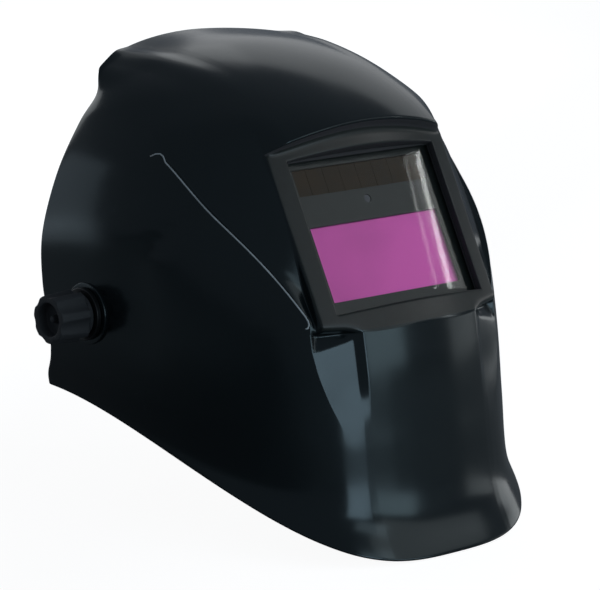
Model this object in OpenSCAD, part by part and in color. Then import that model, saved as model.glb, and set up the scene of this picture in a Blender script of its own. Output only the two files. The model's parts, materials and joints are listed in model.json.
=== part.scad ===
// Welding helmet: flip-up shell, auto-darkening cartridge and adjustable headgear.
// Millimetres. Origin: middle of the shell's pivot axis. The wearer faces -Y, +X is the
// wearer's left hand, +Z is up. At rest the shell is tipped a little above its lowest position.

/* [Shell] */
// outside width of the shell across the pivots
shell_w = 226; // [200:1:270]
// height of the crown above the pivot axis
dome_h = 141; // [125:1:170]
// drop of the chin rim below the pivot axis
chin_drop = 116; // [100:1:140]
// reach of the chin rim ahead of the pivot axis
chin_reach = 174; // [168:1:205]
// wall of the moulded shell
shell_t = 2.4; // [1.8:0.1:3.2]
// step along the edge of the raised side panel
panel_lift = 2.4; // [1:0.1:3]
// depth of the side facet where it meets the window frame
facet_dip = 8; // [4:0.5:10]
// outward roll of the dome's side crease
crease_lift = 1.5; // [0:0.5:3]

/* [Window] */
// lean of the window, top rearwards
win_tilt = 28; // [22:1:32]
// width of the opening
win_w = 105; // [96:1:112]
// height of the opening
win_h = 86; // [78:1:92]
// margin of the frame round the opening
frame_margin = 10.5; // [9:0.5:14]
// forward bulge of the frame at its middle
frame_bulge = 6; // [3:0.5:8]

/* [Filter cartridge] */
// width of the cartridge
cart_w = 110; // [100:1:116]
// height of the cartridge
cart_h = 90; // [82:1:96]
// thickness of the cartridge
cart_t = 9; // [8:0.5:11]
// width of the view area
view_w = 92; // [80:1:96]
// height of the view area
view_h = 42; // [35:1:48]
// travel of the shade slider either way
shade_travel = 5; // [3:0.5:6]

/* [Pivots and knobs] */
// radius of the pivot bolt
bolt_r = 4; // [3.3:0.1:4.8]
// radial running clearance on the pivot bolt
bolt_play = 0.06; // [0.02:0.01:0.10]
// radius of the tension knob
knob_r = 14; // [12:0.5:17]
// length of the tension knob
knob_len = 22; // [18:1:26]
// grip flutes round the tension knob
knob_flutes = 7; // [5:1:9]

/* [Headgear] */
// inside radius of the headband arcs
band_r = 74; // [66:1:78]
// height of the brow band
band_h = 30; // [24:1:34]
// thickness of the moulded bands
band_t = 2; // [1.6:0.1:2.4]
// width of the crown strap
strap_w = 20; // [16:1:24]
// height of the crown strap above the pivot axis
crown_z = 90; // [84:1:92]
// radius of the rear ratchet knob
ratchet_r = 19; // [16:0.5:22]

/* [Hidden] */
$fn = 64;
e = 0.01;
kx = shell_w / 226;
ky = chin_reach / 174;
kup = dome_h / 141;
kdn = chin_drop / 116;
// stations down the shell: rear half-width, rear y, rear z, front y, front z, squareness, sweep
stations = [
    [ 82,   27.5, 124,    47,  141,   1.8, 0.8], [ 86,   24.5, 114,   -13, 139.5, 1.95, 0.9],
    [ 95,   28,    99.5, -65, 126.8, 2.2, 0.85], [106,   34,    72,  -107, 103.5, 2.5, 0.9],
    [112.5, 39.5,  38.5, -128, 70.5, 2.6, 1.0], [113,   39,    10,  -141,   31.5, 2.8, 0.9],
    [112.5, 34,   -11,   -150, -10,  2.8, 1.0], [110,   36.5, -30,  -155.5, -51.5, 2.9, 1.2],
    [107,   43,   -41.5, -162, -91,  3.0, 1.4], [106,   43.5, -48,  -174, -116, 3.1, 1.6]];
last = len(stations) - 1;
// station at which the window band starts and ends on the sides
v_top = 0.35;
v_bot = 0.63;
frame_x = win_w / 2 + frame_margin;
win_y = -115.9 * ky;
win_z = 51 * kup;
// depths behind the opening's plane
lip_y = 4;
flange_t = 1.2;
lens_y = lip_y + 0.1 + flange_t + 0.1;
lens_t = 1;
cart_y = lens_y + lens_t + 0.2;
view_z = -13.9;
// pivot stack, outwards from the middle
boss_in = 107 * kx;
boss_out = 113.4 * kx;
boss_r = 17;
arm_out = boss_in - 10.6;
arm_in = arm_out - 3.5;
stop_in = arm_out + 0.3;
stop_t = 4.6;
inner_washer_t = boss_in - 0.3 - (stop_in + stop_t + 0.3);
outer_washer_t = 2.8;
knob_in = boss_out + 0.3 + outer_washer_t + 0.3;
nut_r = 7;
nut_t = 6;
nut_in = knob_in + 5;
block_h = 12;
block_l = 12;
slot_travel = 6;
plate_r = band_r + band_t;
rear_y = 26;
tail_t = 1.6;
tail_z = -25;
tail_h = 18;
tail_rl = plate_r;
tail_rr = plate_r + tail_t + 0.4;
temple_front = -20;
strap_y = 6;
pinion_r = 3.4;
case_r = plate_r - 2.6;
case_out = tail_rr + tail_t + 2.4;
case_half = 21;
hub_y = rear_y + case_out;

// ---------- shell surface ----------
function knot(i) = i < 0 ? 2 * stations[0] - stations[1]
    : i > last ? 2 * stations[last] - stations[last - 1] : stations[i];
function section(v) = let (t = v * last, i = min(floor(t), last - 1), f = t - i,
    a = knot(i - 1), b = knot(i), c = knot(i + 1), d = knot(i + 2))
    0.5 * (2 * b + (c - a) * f + (2 * a - 5 * b + 4 * c - d) * f * f
        + (3 * b - a - 3 * c + d) * f * f * f);
function lerp(a, b, f) = a + (b - a) * f;
function soft(a, b, x) = let (f = min(1, max(0, (x - a) / (b - a)))) f * f * (3 - 2 * f);
function hump(x, c, w) = let (f = max(0, 1 - abs(x - c) / w)) f * f * (3 - 2 * f);
function unit(p) = p / max(norm(p), 1e-9);
// a point of the plain lofted surface: q is the fraction across, v the fraction down
function loft(q, v) = let (s = section(v), c = pow(max(0, 1 - pow(abs(q), s[5])), 1 / s[5]),
    y = s[1] + (s[3] - s[1]) * pow(c, s[3] > s[1] ? 2.2 : 1), z = s[2] + (s[4] - s[2]) * pow(c, s[6]))
    [s[0] * q * kx, y < 0 ? y * ky : y, z > 0 ? z * kup : z * kdn];
// across-fraction of the raised side panel's edge
function panel_edge(v) = v < 0.33 ? 0.91 : v < 0.61
    ? let (t = (v - 0.33) / 0.28) 0.91 - 0.24 * t - 0.08 * t * t : lerp(0.59, 0.80, soft(0.61, 1, v));
// across-fraction of the frame's side wall
function frame_edge(v) = min(0.8, frame_x / (section(v)[0] * kx));
// inward depth of the side facet, f running from the panel's edge to the frame
function facet(v, f) = soft(0.28, 0.37, v) * (1 - 0.8 * soft(0.55, 0.63, v))
    * (1 - soft(0.60, 0.66, v)) * lerp(panel_lift, facet_dip, f);
// outward lift of the soft features on the side
function lift(q, v) = crease_lift * hump(abs(q), 0.80 - 0.9 * v, 0.15) * (1 - soft(0.08, 0.27, v))
    - 1.2 * hump(abs(q), 0.965 - 0.28 * soft(0.52, 0.33, v), 0.03)
        * soft(0.31, 0.37, v) * (1 - soft(0.62, 0.74, v))
    + 1.2 * hump(abs(q), 0.60 - 0.5 * max(0, v - 0.66), 0.10) * soft(0.62, 0.66, v)
        * (1 - soft(0.70, 0.82, v));
function loft_normal(q, v) = let (d = 0.006, a = min(0.97, q), b = min(0.99, max(0.01, v)))
    unit(cross(loft(a, b + d) - loft(a, b - d), loft(a + d, b) - loft(a - d, b)));
function skin(q, v, dip, f) = let (n = loft_normal(q, v)) loft(q, v) + n * lift(q, v)
    + (dip > 0 ? dip * unit(lerp(-n, [0, cos(win_tilt), -sin(win_tilt)], f)) : [0, 0, 0]);
// window coordinates [across, up the frame, outwards] to the part's frame and back
function from_win(p) = [p[0], win_y + p[1] * sin(win_tilt) - p[2] * cos(win_tilt),
    win_z + p[1] * cos(win_tilt) + p[2] * sin(win_tilt)];
function to_win(p) = let (y = p[1] - win_y, z = p[2] - win_z)
    [p[0], y * sin(win_tilt) + z * cos(win_tilt), z * sin(win_tilt) - y * cos(win_tilt)];
function bezel(x) = frame_bulge * (1 - pow(2 * x / win_w, 2));
function brow_v(x) = v_top - 0.03 * max(0, 1 - pow(x / frame_x, 2));

// columns across one half, middle to rear edge: [zone, fraction]
side_cols = concat(
    [for (i = [0:6]) [0, i / 6]], [for (i = [1:2]) [1, i / 2]],
    [[2, 0]], [for (i = [1:5]) [3, i / 5]], [[4, 0]], [for (i = [1:9]) [5, i / 9]]);
ns = len(side_cols);
cols = concat([for (i = [ns - 1:-1:1]) [-1, side_cols[i]]], [for (c = side_cols) [1, c]]);
nc = len(cols);
// rows down the shell: [band, fraction]
rows = concat([for (i = [0:12]) [0, i / 12]], [for (i = [0:1]) [1, i]],
    [for (i = [1:8]) [2, i / 8]], [[3, 1]], [for (i = [0:10]) [4, i / 10]]);
nr = len(rows);
function row_v(r) = r[0] == 1 ? v_top + 0.004 + 0.012 * r[1]
    : r[0] == 2 ? lerp(v_top + 0.016, v_bot - 0.020, r[1]) : v_bot - 0.004;
// superellipse fraction at a share of the way round between two fractions
function arc_q(a, b, f, n) = let (ta = atan2(a, pow(1 - pow(a, n), 1 / n)),
    tb = b >= 1 ? 90 : atan2(b, pow(1 - pow(b, n), 1 / n)), t = lerp(ta, tb, f),
    d = pow(pow(sin(t), n) + pow(max(0, cos(t)), n), 1 / n)) min(1, sin(t) / d);
function col_q(c, v) = let (s = section(v), fe = frame_edge(v), pe = max(panel_edge(v), fe + 0.07),
    w = s[0] * kx)
    c[0] == 0 ? c[1] * min(win_w / 2 / w, fe * win_w / 2 / frame_x)
    : c[0] == 1 ? lerp(fe * win_w / 2 / frame_x, fe, c[1])
    : c[0] == 2 ? fe + 0.8 / w
    : c[0] == 3 ? arc_q(fe + 0.8 / w, pe - 0.008, c[1], s[5])
    : c[0] == 4 ? pe : arc_q(pe, 1, c[1], s[5]);
function dip_f(c) = c[0] == 2 ? 1 : 1 - c[1];
function skin_at(c, v) = c[0] == 0 || c[0] > 3 ? skin(col_q(c, v), v, 0, 0)
    : c[0] == 1 ? skin(col_q(c, v), v, facet(v, 1) * c[1] * c[1], 1)
    : skin(col_q(c, v), v, facet(v, dip_f(c)), dip_f(c));
// heights of the frame's rows in window coordinates, top to bottom
function frame_row(r, x, hi, lo) = let (top = win_h / 2 + 1.6 * max(0, 1 - pow(2 * x / win_w, 2)))
    r[0] == 1 ? (r[1] == 0 ? hi - 0.8 : top)
    : r[0] == 2 ? lerp(top, -win_h / 2, r[1]) : lo + 0.8;
function shell_pt(r, sc) = let (sg = sc[0], c = sc[1])
    r[0] == 0 ? let (v0 = r[1], x0 = loft(col_q(c, v_top), v_top)[0],
            v = v0 * (c[0] < 2 ? brow_v(x0) : v_top)) mirrored(skin_at(c, v), sg)
    : r[0] == 4 ? mirrored(skin_at(c, lerp(v_bot, 1, r[1])), sg)
    : c[0] >= 2 ? mirrored(skin_at(c, row_v(r)), sg)
    : let (x = c[0] == 0 ? c[1] * win_w / 2 : lerp(win_w / 2, frame_x, c[1]),
        hi = to_win(skin_at(c, brow_v(x)))[1], lo = to_win(skin_at(c, v_bot))[1])
        mirrored(from_win([x, frame_row(r, x, hi, lo), bezel(x)]), sg);
function mirrored(p, sg) = [sg * p[0], p[1], p[2]];

// one grid of points as a closed skin of thickness t, with the window left open
module skin_solid(t) {
    m = nr * nc;
    r0 = 14; r1 = 22; c0 = ns - 1 - 6; c1 = ns - 1 + 6;
    outer = [for (r = rows) [for (c = cols) shell_pt(r, c)]];
    nrm = [for (i = [0:nr - 1]) [for (j = [0:nc - 1]) let (
        a = outer[max(0, i - 1)][j], b = outer[min(nr - 1, i + 1)][j],
        c = outer[i][max(0, j - 1)], d = outer[i][min(nc - 1, j + 1)]) unit(cross(b - a, d - c))]];
    pts = concat([for (i = [0:nr - 1]) for (j = [0:nc - 1]) outer[i][j]],
        [for (i = [0:nr - 1]) for (j = [0:nc - 1])
            lip(i, j) ? let (p = to_win(outer[i][j])) from_win([p[0], p[1], -lip_y])
            : outer[i][j] - nrm[i][j] * t * lerp(0.5, 1, min(1, i / 2, j / 2, (nc - 1 - j) / 2))]);
    function lip(i, j) = i >= r0 && i <= r1 && j >= c0 && j <= c1;
    function open(i, j) = i >= r0 && i < r1 && j >= c0 && j < c1;
    function rim(a, b) = [[b, a, a + m], [b, a + m, b + m]];
    faces = concat(
        [for (i = [0:nr - 2]) for (j = [0:nc - 2]) if (!open(i, j)) let (a = i * nc + j)
            each norm(pts[a] - pts[a + nc + 1]) < norm(pts[a + 1] - pts[a + nc])
                ? [[a, a + 1, a + nc + 1], [a, a + nc + 1, a + nc],
                    [a + m, a + m + nc + 1, a + m + 1], [a + m, a + m + nc, a + m + nc + 1]]
                : [[a, a + 1, a + nc], [a + 1, a + nc + 1, a + nc],
                    [a + m, a + m + nc, a + m + 1], [a + m + 1, a + m + nc, a + m + nc + 1]]],
        [for (j = [0:nc - 2]) each concat(rim(j, j + 1),
            rim((nr - 1) * nc + j + 1, (nr - 1) * nc + j))],
        [for (i = [0:nr - 2]) each concat(rim((i + 1) * nc, i * nc),
            rim(i * nc + nc - 1, (i + 1) * nc + nc - 1))],
        [for (j = [c0:c1 - 1]) each concat(rim(r0 * nc + j + 1, r0 * nc + j),
            rim(r1 * nc + j, r1 * nc + j + 1))],
        [for (i = [r0:r1 - 1]) each concat(rim(i * nc + c0, (i + 1) * nc + c0),
            rim((i + 1) * nc + c1, i * nc + c1))]);
    polyhedron(pts, faces, convexity = 10);
}

module along_x(x0, x1, r, sg = 1) translate([sg > 0 ? x0 : -x1, 0, 0]) rotate([0, 90, 0])
    cylinder(r = r, h = x1 - x0);

module shell() color([0.05, 0.06, 0.065]) difference() {
    union() {
        skin_solid(shell_t);
        for (sg = [-1, 1]) along_x(boss_in, boss_out, boss_r, sg);
    }
    for (sg = [-1, 1]) along_x(boss_in - 5, boss_out + 5, bolt_r + bolt_play, sg);
}

// ---------- filter cartridge, in window coordinates ----------
// places children with x across, y behind the opening's plane and z up the window
module at_window() translate([0, win_y, win_z]) rotate([-win_tilt, 0, 0]) children();
// a plate w x h from depth y0 to y1, centred at height z
module plate(w, h, y0, y1, z = 0) translate([-w / 2, y0, z - h / 2]) cube([w, y1 - y0, h]);
// a frame: outer w x h less inner iw x ih
module hoop(w, h, iw, ih, y0, y1, z = 0) difference() {
    plate(w, h, y0, y1, z);
    plate(iw, ih, y0 - 1, y1 + 1, z);
}
// a round along the window's depth
module peg(x, z, r, y0, y1) translate([x, y0, z]) rotate([-90, 0, 0]) cylinder(r = r, h = y1 - y0);

tray_w = cart_w + 1;
tray_h = cart_h + 1;
tray_wall = 2.5;
tray_back = cart_y + cart_t + 2;
lug_x = 40;
lug_z = tray_h / 2 + tray_wall + 3.4;
lug_y = 2.6;
lug_back = 9;
latch_len = 14;
latch_x = tray_w / 2 - 3;
case_split = cart_y + 4;
slider_z = view_z + view_h / 2 + 14;
sensor_z = slider_z - 2.6;

module filter_holder() color([0.09, 0.09, 0.10]) at_window() difference() {
    union() {
        hoop(tray_w + 2 * tray_wall, tray_h + 2 * tray_wall, tray_w, tray_h, lip_y + 0.1, tray_back);
        hoop(tray_w + 1, tray_h + 1, win_w, win_h, lip_y + 0.1, lip_y + 0.1 + flange_t);
        for (sx = [-1, 1]) for (k = [0, 1]) {
            peg(sx * lug_x, (2 * k - 1) * lug_z, 4, lug_y, lug_back);
            translate([sx * lug_x - 3, lip_y + 0.1, k == 1 ? tray_h / 2 + 1 : -lug_z])
                cube([6, lug_back - lip_y - 0.1, lug_z - tray_h / 2 - 1]);
        }
        for (sx = [-1, 1]) for (sz = [-1, 1])
            translate([sx > 0 ? latch_x - 3 : -latch_x - 4, tray_back - 0.5,
                sz * (latch_len / 2 + 2.2) - 1.6])
                cube([7, 3.5, 3.2]);
    }
    for (sx = [-1, 1]) for (sz = [-1, 1]) peg(sx * lug_x, sz * lug_z, 1.5, -1, lug_back + 1);
}
module holder_screw(sx, k) color([0.62, 0.62, 0.64]) at_window() translate([0, 0, (2 * k - 1) * lug_z])
    difference() {
        union() {
            peg(sx * lug_x, 0, 1.48, lug_y + 0.3, lug_back + 0.5);
            peg(sx * lug_x, 0, 2.9, lug_back + 0.05, lug_back + 2);
        }
        for (a = [0, 90]) translate([sx * lug_x, lug_back + 1.4, 0]) rotate([0, a, 0])
            translate([-1.7, 0, -0.35]) cube([3.4, 1, 0.7]);
    }
module holder_screw_1() holder_screw(-1, 1);
module holder_screw_2() holder_screw(1, 1);
module holder_screw_3() holder_screw(-1, 0);
module holder_screw_4() holder_screw(1, 0);

module cover_lens() color([0.85, 0.9, 0.92, 0.3]) at_window()
    plate(tray_w - 0.3, tray_h - 0.3, lens_y, lens_y + lens_t);

module case_front() color([0.11, 0.11, 0.12]) at_window() difference() {
    plate(cart_w, cart_h, cart_y, case_split);
    plate(cart_w - 4, cart_h - 4, cart_y + 1.8, case_split + 1);
    plate(view_w, view_h, cart_y - 1, case_split, view_z);
    plate(view_w, 15, cart_y - 1, case_split, cart_h / 2 - 13);
    peg(0, sensor_z, 2.4, cart_y - 1, case_split);
}
module case_back() color([0.11, 0.11, 0.12]) at_window() difference() {
    plate(cart_w, cart_h, case_split, cart_y + cart_t);
    plate(cart_w - 4, cart_h - 4, case_split - 1, cart_y + cart_t - 1.8);
    plate(view_w, view_h, case_split, cart_y + cart_t + 1, view_z);
    plate(2 * shade_travel + 5.2, 4.2, case_split, cart_y + cart_t + 1, slider_z);
}
module filter_glass() color([0.62, 0.32, 0.58]) at_window()
    plate(view_w + 4, view_h + 4, cart_y + 1.85, cart_y + 3.1, view_z);
module lcd_stack() color([0.25, 0.30, 0.20]) at_window()
    plate(view_w + 3, view_h + 3, cart_y + 3.15, cart_y + cart_t - 1.85, view_z);
module solar_cell() color([0.20, 0.15, 0.12]) at_window()
    plate(view_w + 2, 17, cart_y + 1.85, cart_y + 2.9, cart_h / 2 - 13);
module arc_sensor() color([0.55, 0.55, 0.60]) at_window() union() {
    peg(0, sensor_z, 2.2, cart_y + 0.4, cart_y + 3.2);
    plate(6.5, 4, cart_y + 1.9, cart_y + 3.2, sensor_z);
}
board_h = 30;
module circuit_board() color([0.10, 0.35, 0.18]) at_window()
    plate(view_w + 6, board_h, cart_y + 3.25, cart_y + 4.5, cart_h / 2 - 2.2 - board_h / 2);
module battery() color([0.75, 0.76, 0.78]) at_window()
    peg(30, slider_z, 6.2, cart_y + 4.55, cart_y + cart_t - 1.9);
module inner_lens() color([0.85, 0.9, 0.92, 0.3]) at_window()
    plate(view_w + 3, view_h + 6, cart_y + cart_t + 0.05, cart_y + cart_t + 1.05, view_z);
module shade_slider() color([0.70, 0.70, 0.72]) at_window() union() {
    plate(5, 4.1, cart_y + cart_t - 2.2, cart_y + cart_t + 1.6, slider_z);
    plate(8, 7, cart_y + cart_t - 2.9, cart_y + cart_t - 1.9, slider_z);
}
module latch(sx) color([0.16, 0.16, 0.17]) at_window() union() {
    translate([sx * latch_x - 3, cart_y + cart_t + 2.05, -latch_len / 2]) cube([6, 1.8, latch_len]);
    translate([sx * latch_x - (sx > 0 ? 4.4 : -1), cart_y + cart_t + 0.1, -latch_len / 2])
        cube([3.4, 2, latch_len]);
    translate([sx * latch_x - 1, cart_y + cart_t + 3.8, -4]) cube([2, 1.4, 8]);
}
module latch_l() latch(1);
module latch_r() latch(-1);

// ---------- pivots and knobs, built on the +X side ----------
module on_side(sg) if (sg > 0) children(); else mirror([1, 0, 0]) children();
module pivot_bolt(sg) color([0.60, 0.61, 0.63]) on_side(sg) union() {
    along_x(arm_in - 4, nut_in + nut_t + 1, bolt_r);
    translate([arm_in - 8.5, 0, 0]) rotate([0, 90, 0]) cylinder(r = bolt_r + 3, h = 4.6, $fn = 6);
}
module pivot_bolt_l() pivot_bolt(1);
module pivot_bolt_r() pivot_bolt(-1);
module pivot_block(sg) color([0.20, 0.20, 0.22]) on_side(sg) difference() {
    union() {
        translate([arm_in - 0.5, -block_l / 2, -block_h / 2 + 0.1])
            cube([arm_out - arm_in + 0.7, block_l, block_h - 0.2]);
        translate([arm_in - 3.9, -block_l / 2 - 2, -block_h / 2 - 3]) cube([3.6, block_l + 4, block_h + 6]);
    }
    along_x(arm_in - 6, arm_out + 3, bolt_r + 0.02);
}
module pivot_block_l() pivot_block(1);
module pivot_block_r() pivot_block(-1);
module tilt_stop(sg) color([0.13, 0.13, 0.14]) on_side(sg) difference() {
    union() {
        along_x(stop_in, stop_in + stop_t, 15);
        translate([stop_in, -5, -22]) cube([stop_t, 10, 12]);
    }
    along_x(stop_in - 1, stop_in + stop_t + 1, bolt_r + bolt_play);
    for (a = [-30 : 15 : 30]) rotate([a, 0, 0]) translate([0, 0, -10.5])
        along_x(stop_in - 1, stop_in + stop_t + 1, 1.1);
}
module tilt_stop_l() tilt_stop(1);
module tilt_stop_r() tilt_stop(-1);
module washer(sg, x, t, r) on_side(sg) difference() {
    along_x(x, x + t, r);
    along_x(x - 1, x + t + 1, bolt_r + bolt_play);
}
module inner_washer_l() color([0.75, 0.73, 0.68]) washer(1, stop_in + stop_t + 0.3, inner_washer_t, 13);
module inner_washer_r() color([0.75, 0.73, 0.68]) washer(-1, stop_in + stop_t + 0.3, inner_washer_t, 13);
module outer_washer_l() color([0.10, 0.10, 0.11]) washer(1, boss_out + 0.3, outer_washer_t, 14.5);
module outer_washer_r() color([0.10, 0.10, 0.11]) washer(-1, boss_out + 0.3, outer_washer_t, 14.5);
module tension_knob(sg) color([0.09, 0.10, 0.10]) on_side(sg) difference() {
    union() {
        along_x(knob_in, knob_in + 3, knob_r - 2);
        translate([knob_in + 2.9, 0, 0]) rotate([0, 90, 0])
            cylinder(r1 = knob_r + 0.4, r2 = knob_r - 0.8, h = knob_len - 2.9);
    }
    for (i = [0 : knob_flutes - 1]) rotate([i * 360 / knob_flutes, 0, 0])
        translate([0, 0, knob_r * 1.25]) along_x(knob_in + 3, knob_in + knob_len + 1, knob_r * 0.41);
    difference() {
        along_x(knob_in + knob_len - 6, knob_in + knob_len + 1, knob_r * 0.66);
        along_x(knob_in + knob_len - 7, knob_in + knob_len - 2.4, 2.2);
    }
    along_x(knob_in - 1, nut_in + nut_t + 2, bolt_r + bolt_play);
    translate([nut_in, 0, 0]) rotate([0, 90, 0]) cylinder(r = nut_r + 0.05, h = nut_t, $fn = 6);
}
module tension_knob_l() tension_knob(1);
module tension_knob_r() tension_knob(-1);
module knob_nut(sg) color([0.72, 0.70, 0.62]) on_side(sg) difference() {
    translate([nut_in, 0, 0]) rotate([0, 90, 0]) cylinder(r = nut_r, h = nut_t, $fn = 6);
    along_x(nut_in - 1, nut_in + nut_t + 1, bolt_r + bolt_play);
}
module knob_nut_l() knob_nut(1);
module knob_nut_r() knob_nut(-1);

// ---------- headgear ----------
leg_y = 18.5;
module side_arm(sg) color([0.14, 0.14, 0.15]) on_side(sg) difference() {
    union() {
        translate([arm_in, -leg_y - 5, -15]) cube([arm_out - arm_in, 2 * leg_y + 10, 30]);
        for (s = [-1, 1]) translate([plate_r, s * leg_y - 3, -11]) cube([arm_in - plate_r + 0.5, 6, 22]);
    }
    translate([arm_in - 1, -block_l / 2 - slot_travel - 0.2, -block_h / 2])
        cube([arm_out - arm_in + 2, block_l + 2 * slot_travel + 0.4, block_h]);
    for (s = [-1, 1]) translate([0, s * leg_y, 0]) along_x(plate_r - 1, plate_r + 12, 1.6);
}
module side_arm_l() side_arm(1);
module side_arm_r() side_arm(-1);
// a sector of a ring standing up along Z, from angle a0 to a1 (0 is +X, 90 is +Y)
module ring_part(r0, r1, z0, z1, a0, a1, y0) translate([0, y0, 0]) rotate([0, 0, a0])
    rotate_extrude(angle = a1 - a0) translate([r0, z0]) square([r1 - r0, z1 - z0]);
module temple(sg) difference() {
    translate([sg > 0 ? band_r : -plate_r, temple_front, -36]) cube([band_t, rear_y - temple_front, 78]);
    translate([sg * band_r - 5, leg_y - 15, 16]) rotate([0, 90, 0]) cylinder(r = 5, h = 10);
    translate([sg * band_r - 5, -4, -26]) rotate([0, 90, 0]) cylinder(r = 6, h = 10);
    for (s = [-1, 1]) if (s * leg_y < rear_y && s * leg_y > temple_front - 4)
        translate([sg * band_r - 5, s * leg_y, 0]) rotate([0, 90, 0]) cylinder(r = 1.6, h = 10);
}
brow_y = -8;
module headband() color([0.12, 0.12, 0.13]) union() {
    ring_part(band_r, plate_r, 42 - band_h, 42, 180, 360, brow_y);
    for (sg = [-1, 1]) temple(sg);
    for (sg = [-1, 1]) translate([sg > 0 ? band_r : -plate_r, temple_front - 6, -15])
        cube([band_t, 8, 42]);
    translate([-plate_r - 2, 8, tail_z - tail_h / 2]) cube([2.2, rear_y - 8, tail_h]);
}
module sweatband() color([0.20, 0.20, 0.22])
    ring_part(band_r - 6.6, band_r - 0.15, 40 - band_h, 44, 195, 345, brow_y);
strap_ri = sqrt(pow(plate_r, 2) + pow((pow(plate_r, 2) - pow(crown_z - 42, 2)) / (2 * (crown_z - 42)), 2));
strap_c = crown_z - strap_ri;
strap_a = asin(plate_r / strap_ri);
strap_t = 1.6;
strap_up = strap_t + 0.25;
module crown_strap(up) translate([0, 0, up]) difference() {
    union() {
        translate([0, strap_y + strap_w / 2, strap_c]) rotate([90, 0, 0]) rotate([0, 0, 90 - strap_a])
            rotate_extrude(angle = strap_a + 22) translate([strap_ri, 0]) square([strap_t, strap_w]);
        translate([plate_r, strap_y - strap_w / 2, 24]) cube([strap_t, strap_w, 19.6]);
    }
    for (a = [-15 : 7.5 : 15]) translate([0, strap_y, strap_c]) rotate([0, a, 0])
        cylinder(r = 1.6, h = strap_ri + 8);
}
module crown_strap_l() color([0.13, 0.13, 0.14]) crown_strap(0);
module crown_strap_r() color([0.13, 0.13, 0.14]) mirror([1, 0, 0]) crown_strap(strap_up);
module crown_peg() color([0.16, 0.16, 0.17]) translate([0, strap_y, crown_z - 1.4]) union() {
    cylinder(r = 1.55, h = 5.5);
    cylinder(r = 3.2, h = 1.25);
    translate([0, 0, 5]) cylinder(r = 5, h = 1.6);
}
// tail: tongue on the temple, arc round the back, toothed slot in the overlap
module tail_strip(r0) union() {
    translate([r0, 10, tail_z - tail_h / 2]) cube([tail_t, rear_y - 10, tail_h]);
    ring_part(r0, r0 + tail_t, tail_z - tail_h / 2, tail_z + tail_h / 2, 0, 102, rear_y);
}
module tail(sg, r0) difference() {
    on_side(sg) tail_strip(r0);
    difference() {
        ring_part(r0 - 1, r0 + tail_t + 1, tail_z - pinion_r - 0.5, tail_z + pinion_r + 0.5,
            sg > 0 ? 68 : 80.5, sg > 0 ? 99.5 : 112, rear_y);
        for (a = [84 : 2 : 96]) translate([0, rear_y, 0]) rotate([0, 0, a])
            translate([r0 - 1, -0.55, sg > 0 ? tail_z + pinion_r - 0.1 : tail_z - pinion_r - 1.4])
                cube([tail_t + 2, 1.1, 1.5]);
    }
}
module band_tail_l() color([0.13, 0.13, 0.14]) tail(1, tail_rl);
module band_tail_r() color([0.13, 0.13, 0.14]) tail(-1, tail_rr);
module ratchet_case() color([0.11, 0.11, 0.12]) difference() {
    ring_part(case_r, case_out, tail_z - 17, tail_z + 17, 90 - case_half, 90 + case_half, rear_y);
    ring_part(plate_r - 0.4, tail_rr + tail_t + 0.4, tail_z - tail_h / 2 - 0.5, tail_z + tail_h / 2 + 0.5,
        60, 120, rear_y);
    translate([0, rear_y + plate_r - 1, tail_z]) rotate([-90, 0, 0]) cylinder(r = pinion_r + 0.8, h = 20);
    translate([0, hub_y - 1.25, tail_z]) rotate([-90, 0, 0]) cylinder(r = 15.1, h = 20);
}
module ratchet_cover() color([0.11, 0.11, 0.12]) translate([0, hub_y - 1.2, tail_z]) rotate([-90, 0, 0])
    difference() {
        cylinder(r = 15, h = 2.4);
        translate([0, 0, -1]) cylinder(r = pinion_r + 0.05, h = 5);
    }
module pinion() color([0.75, 0.75, 0.72]) translate([0, 0, tail_z]) rotate([-90, 0, 0]) union() {
    translate([0, 0, rear_y + plate_r + 0.2]) cylinder(r = pinion_r - 0.9, h = tail_rr + tail_t - plate_r);
    for (i = [0 : 7]) rotate([0, 0, i * 45]) translate([-0.45, 0, rear_y + plate_r + 0.2])
        cube([0.9, pinion_r - 0.2, tail_rr + tail_t - plate_r]);
    translate([0, 0, rear_y + tail_rr + tail_t]) cylinder(r = pinion_r, h = 9.5);
}
module detent_spring() color([0.65, 0.66, 0.68]) translate([0, hub_y + 1.3, tail_z]) rotate([-90, 0, 0])
    difference() {
        cylinder(r = 9, h = 0.6);
        translate([0, 0, -1]) cylinder(r = pinion_r + 0.3, h = 3);
        translate([4.5, -1, -1]) cube([6, 2, 3]);
    }
module ratchet_knob() color([0.09, 0.10, 0.10]) translate([0, hub_y + 2, tail_z]) rotate([-90, 0, 0])
    difference() {
        cylinder(r = ratchet_r, h = 12);
        for (i = [0 : 15]) rotate([0, 0, i * 22.5]) translate([ratchet_r + 2.2, 0, -1])
            cylinder(r = 3, h = 14);
        translate([0, 0, -1]) cylinder(r = pinion_r + 0.02, h = 6.5);
    }
module nape_pad() color([0.20, 0.20, 0.22])
    ring_part(case_r - 6.7, case_r - 0.15, tail_z - 18, tail_z + 18, 90 - 36, 90 + 36, rear_y);

shell();
filter_holder();
cover_lens();
case_front();
case_back();
filter_glass();
lcd_stack();
solar_cell();
arc_sensor();
circuit_board();
battery();
inner_lens();
shade_slider();
latch_l();
latch_r();
holder_screw_1();
holder_screw_2();
holder_screw_3();
holder_screw_4();
tension_knob_l();
tension_knob_r();
knob_nut_l();
knob_nut_r();
outer_washer_l();
outer_washer_r();
inner_washer_l();
inner_washer_r();
pivot_bolt_l();
pivot_bolt_r();
pivot_block_l();
pivot_block_r();
tilt_stop_l();
tilt_stop_r();
side_arm_l();
side_arm_r();
headband();
sweatband();
crown_strap_l();
crown_strap_r();
crown_peg();
band_tail_l();
band_tail_r();
ratchet_case();
ratchet_cover();
ratchet_knob();
pinion();
detent_spring();
nape_pad();
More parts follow.
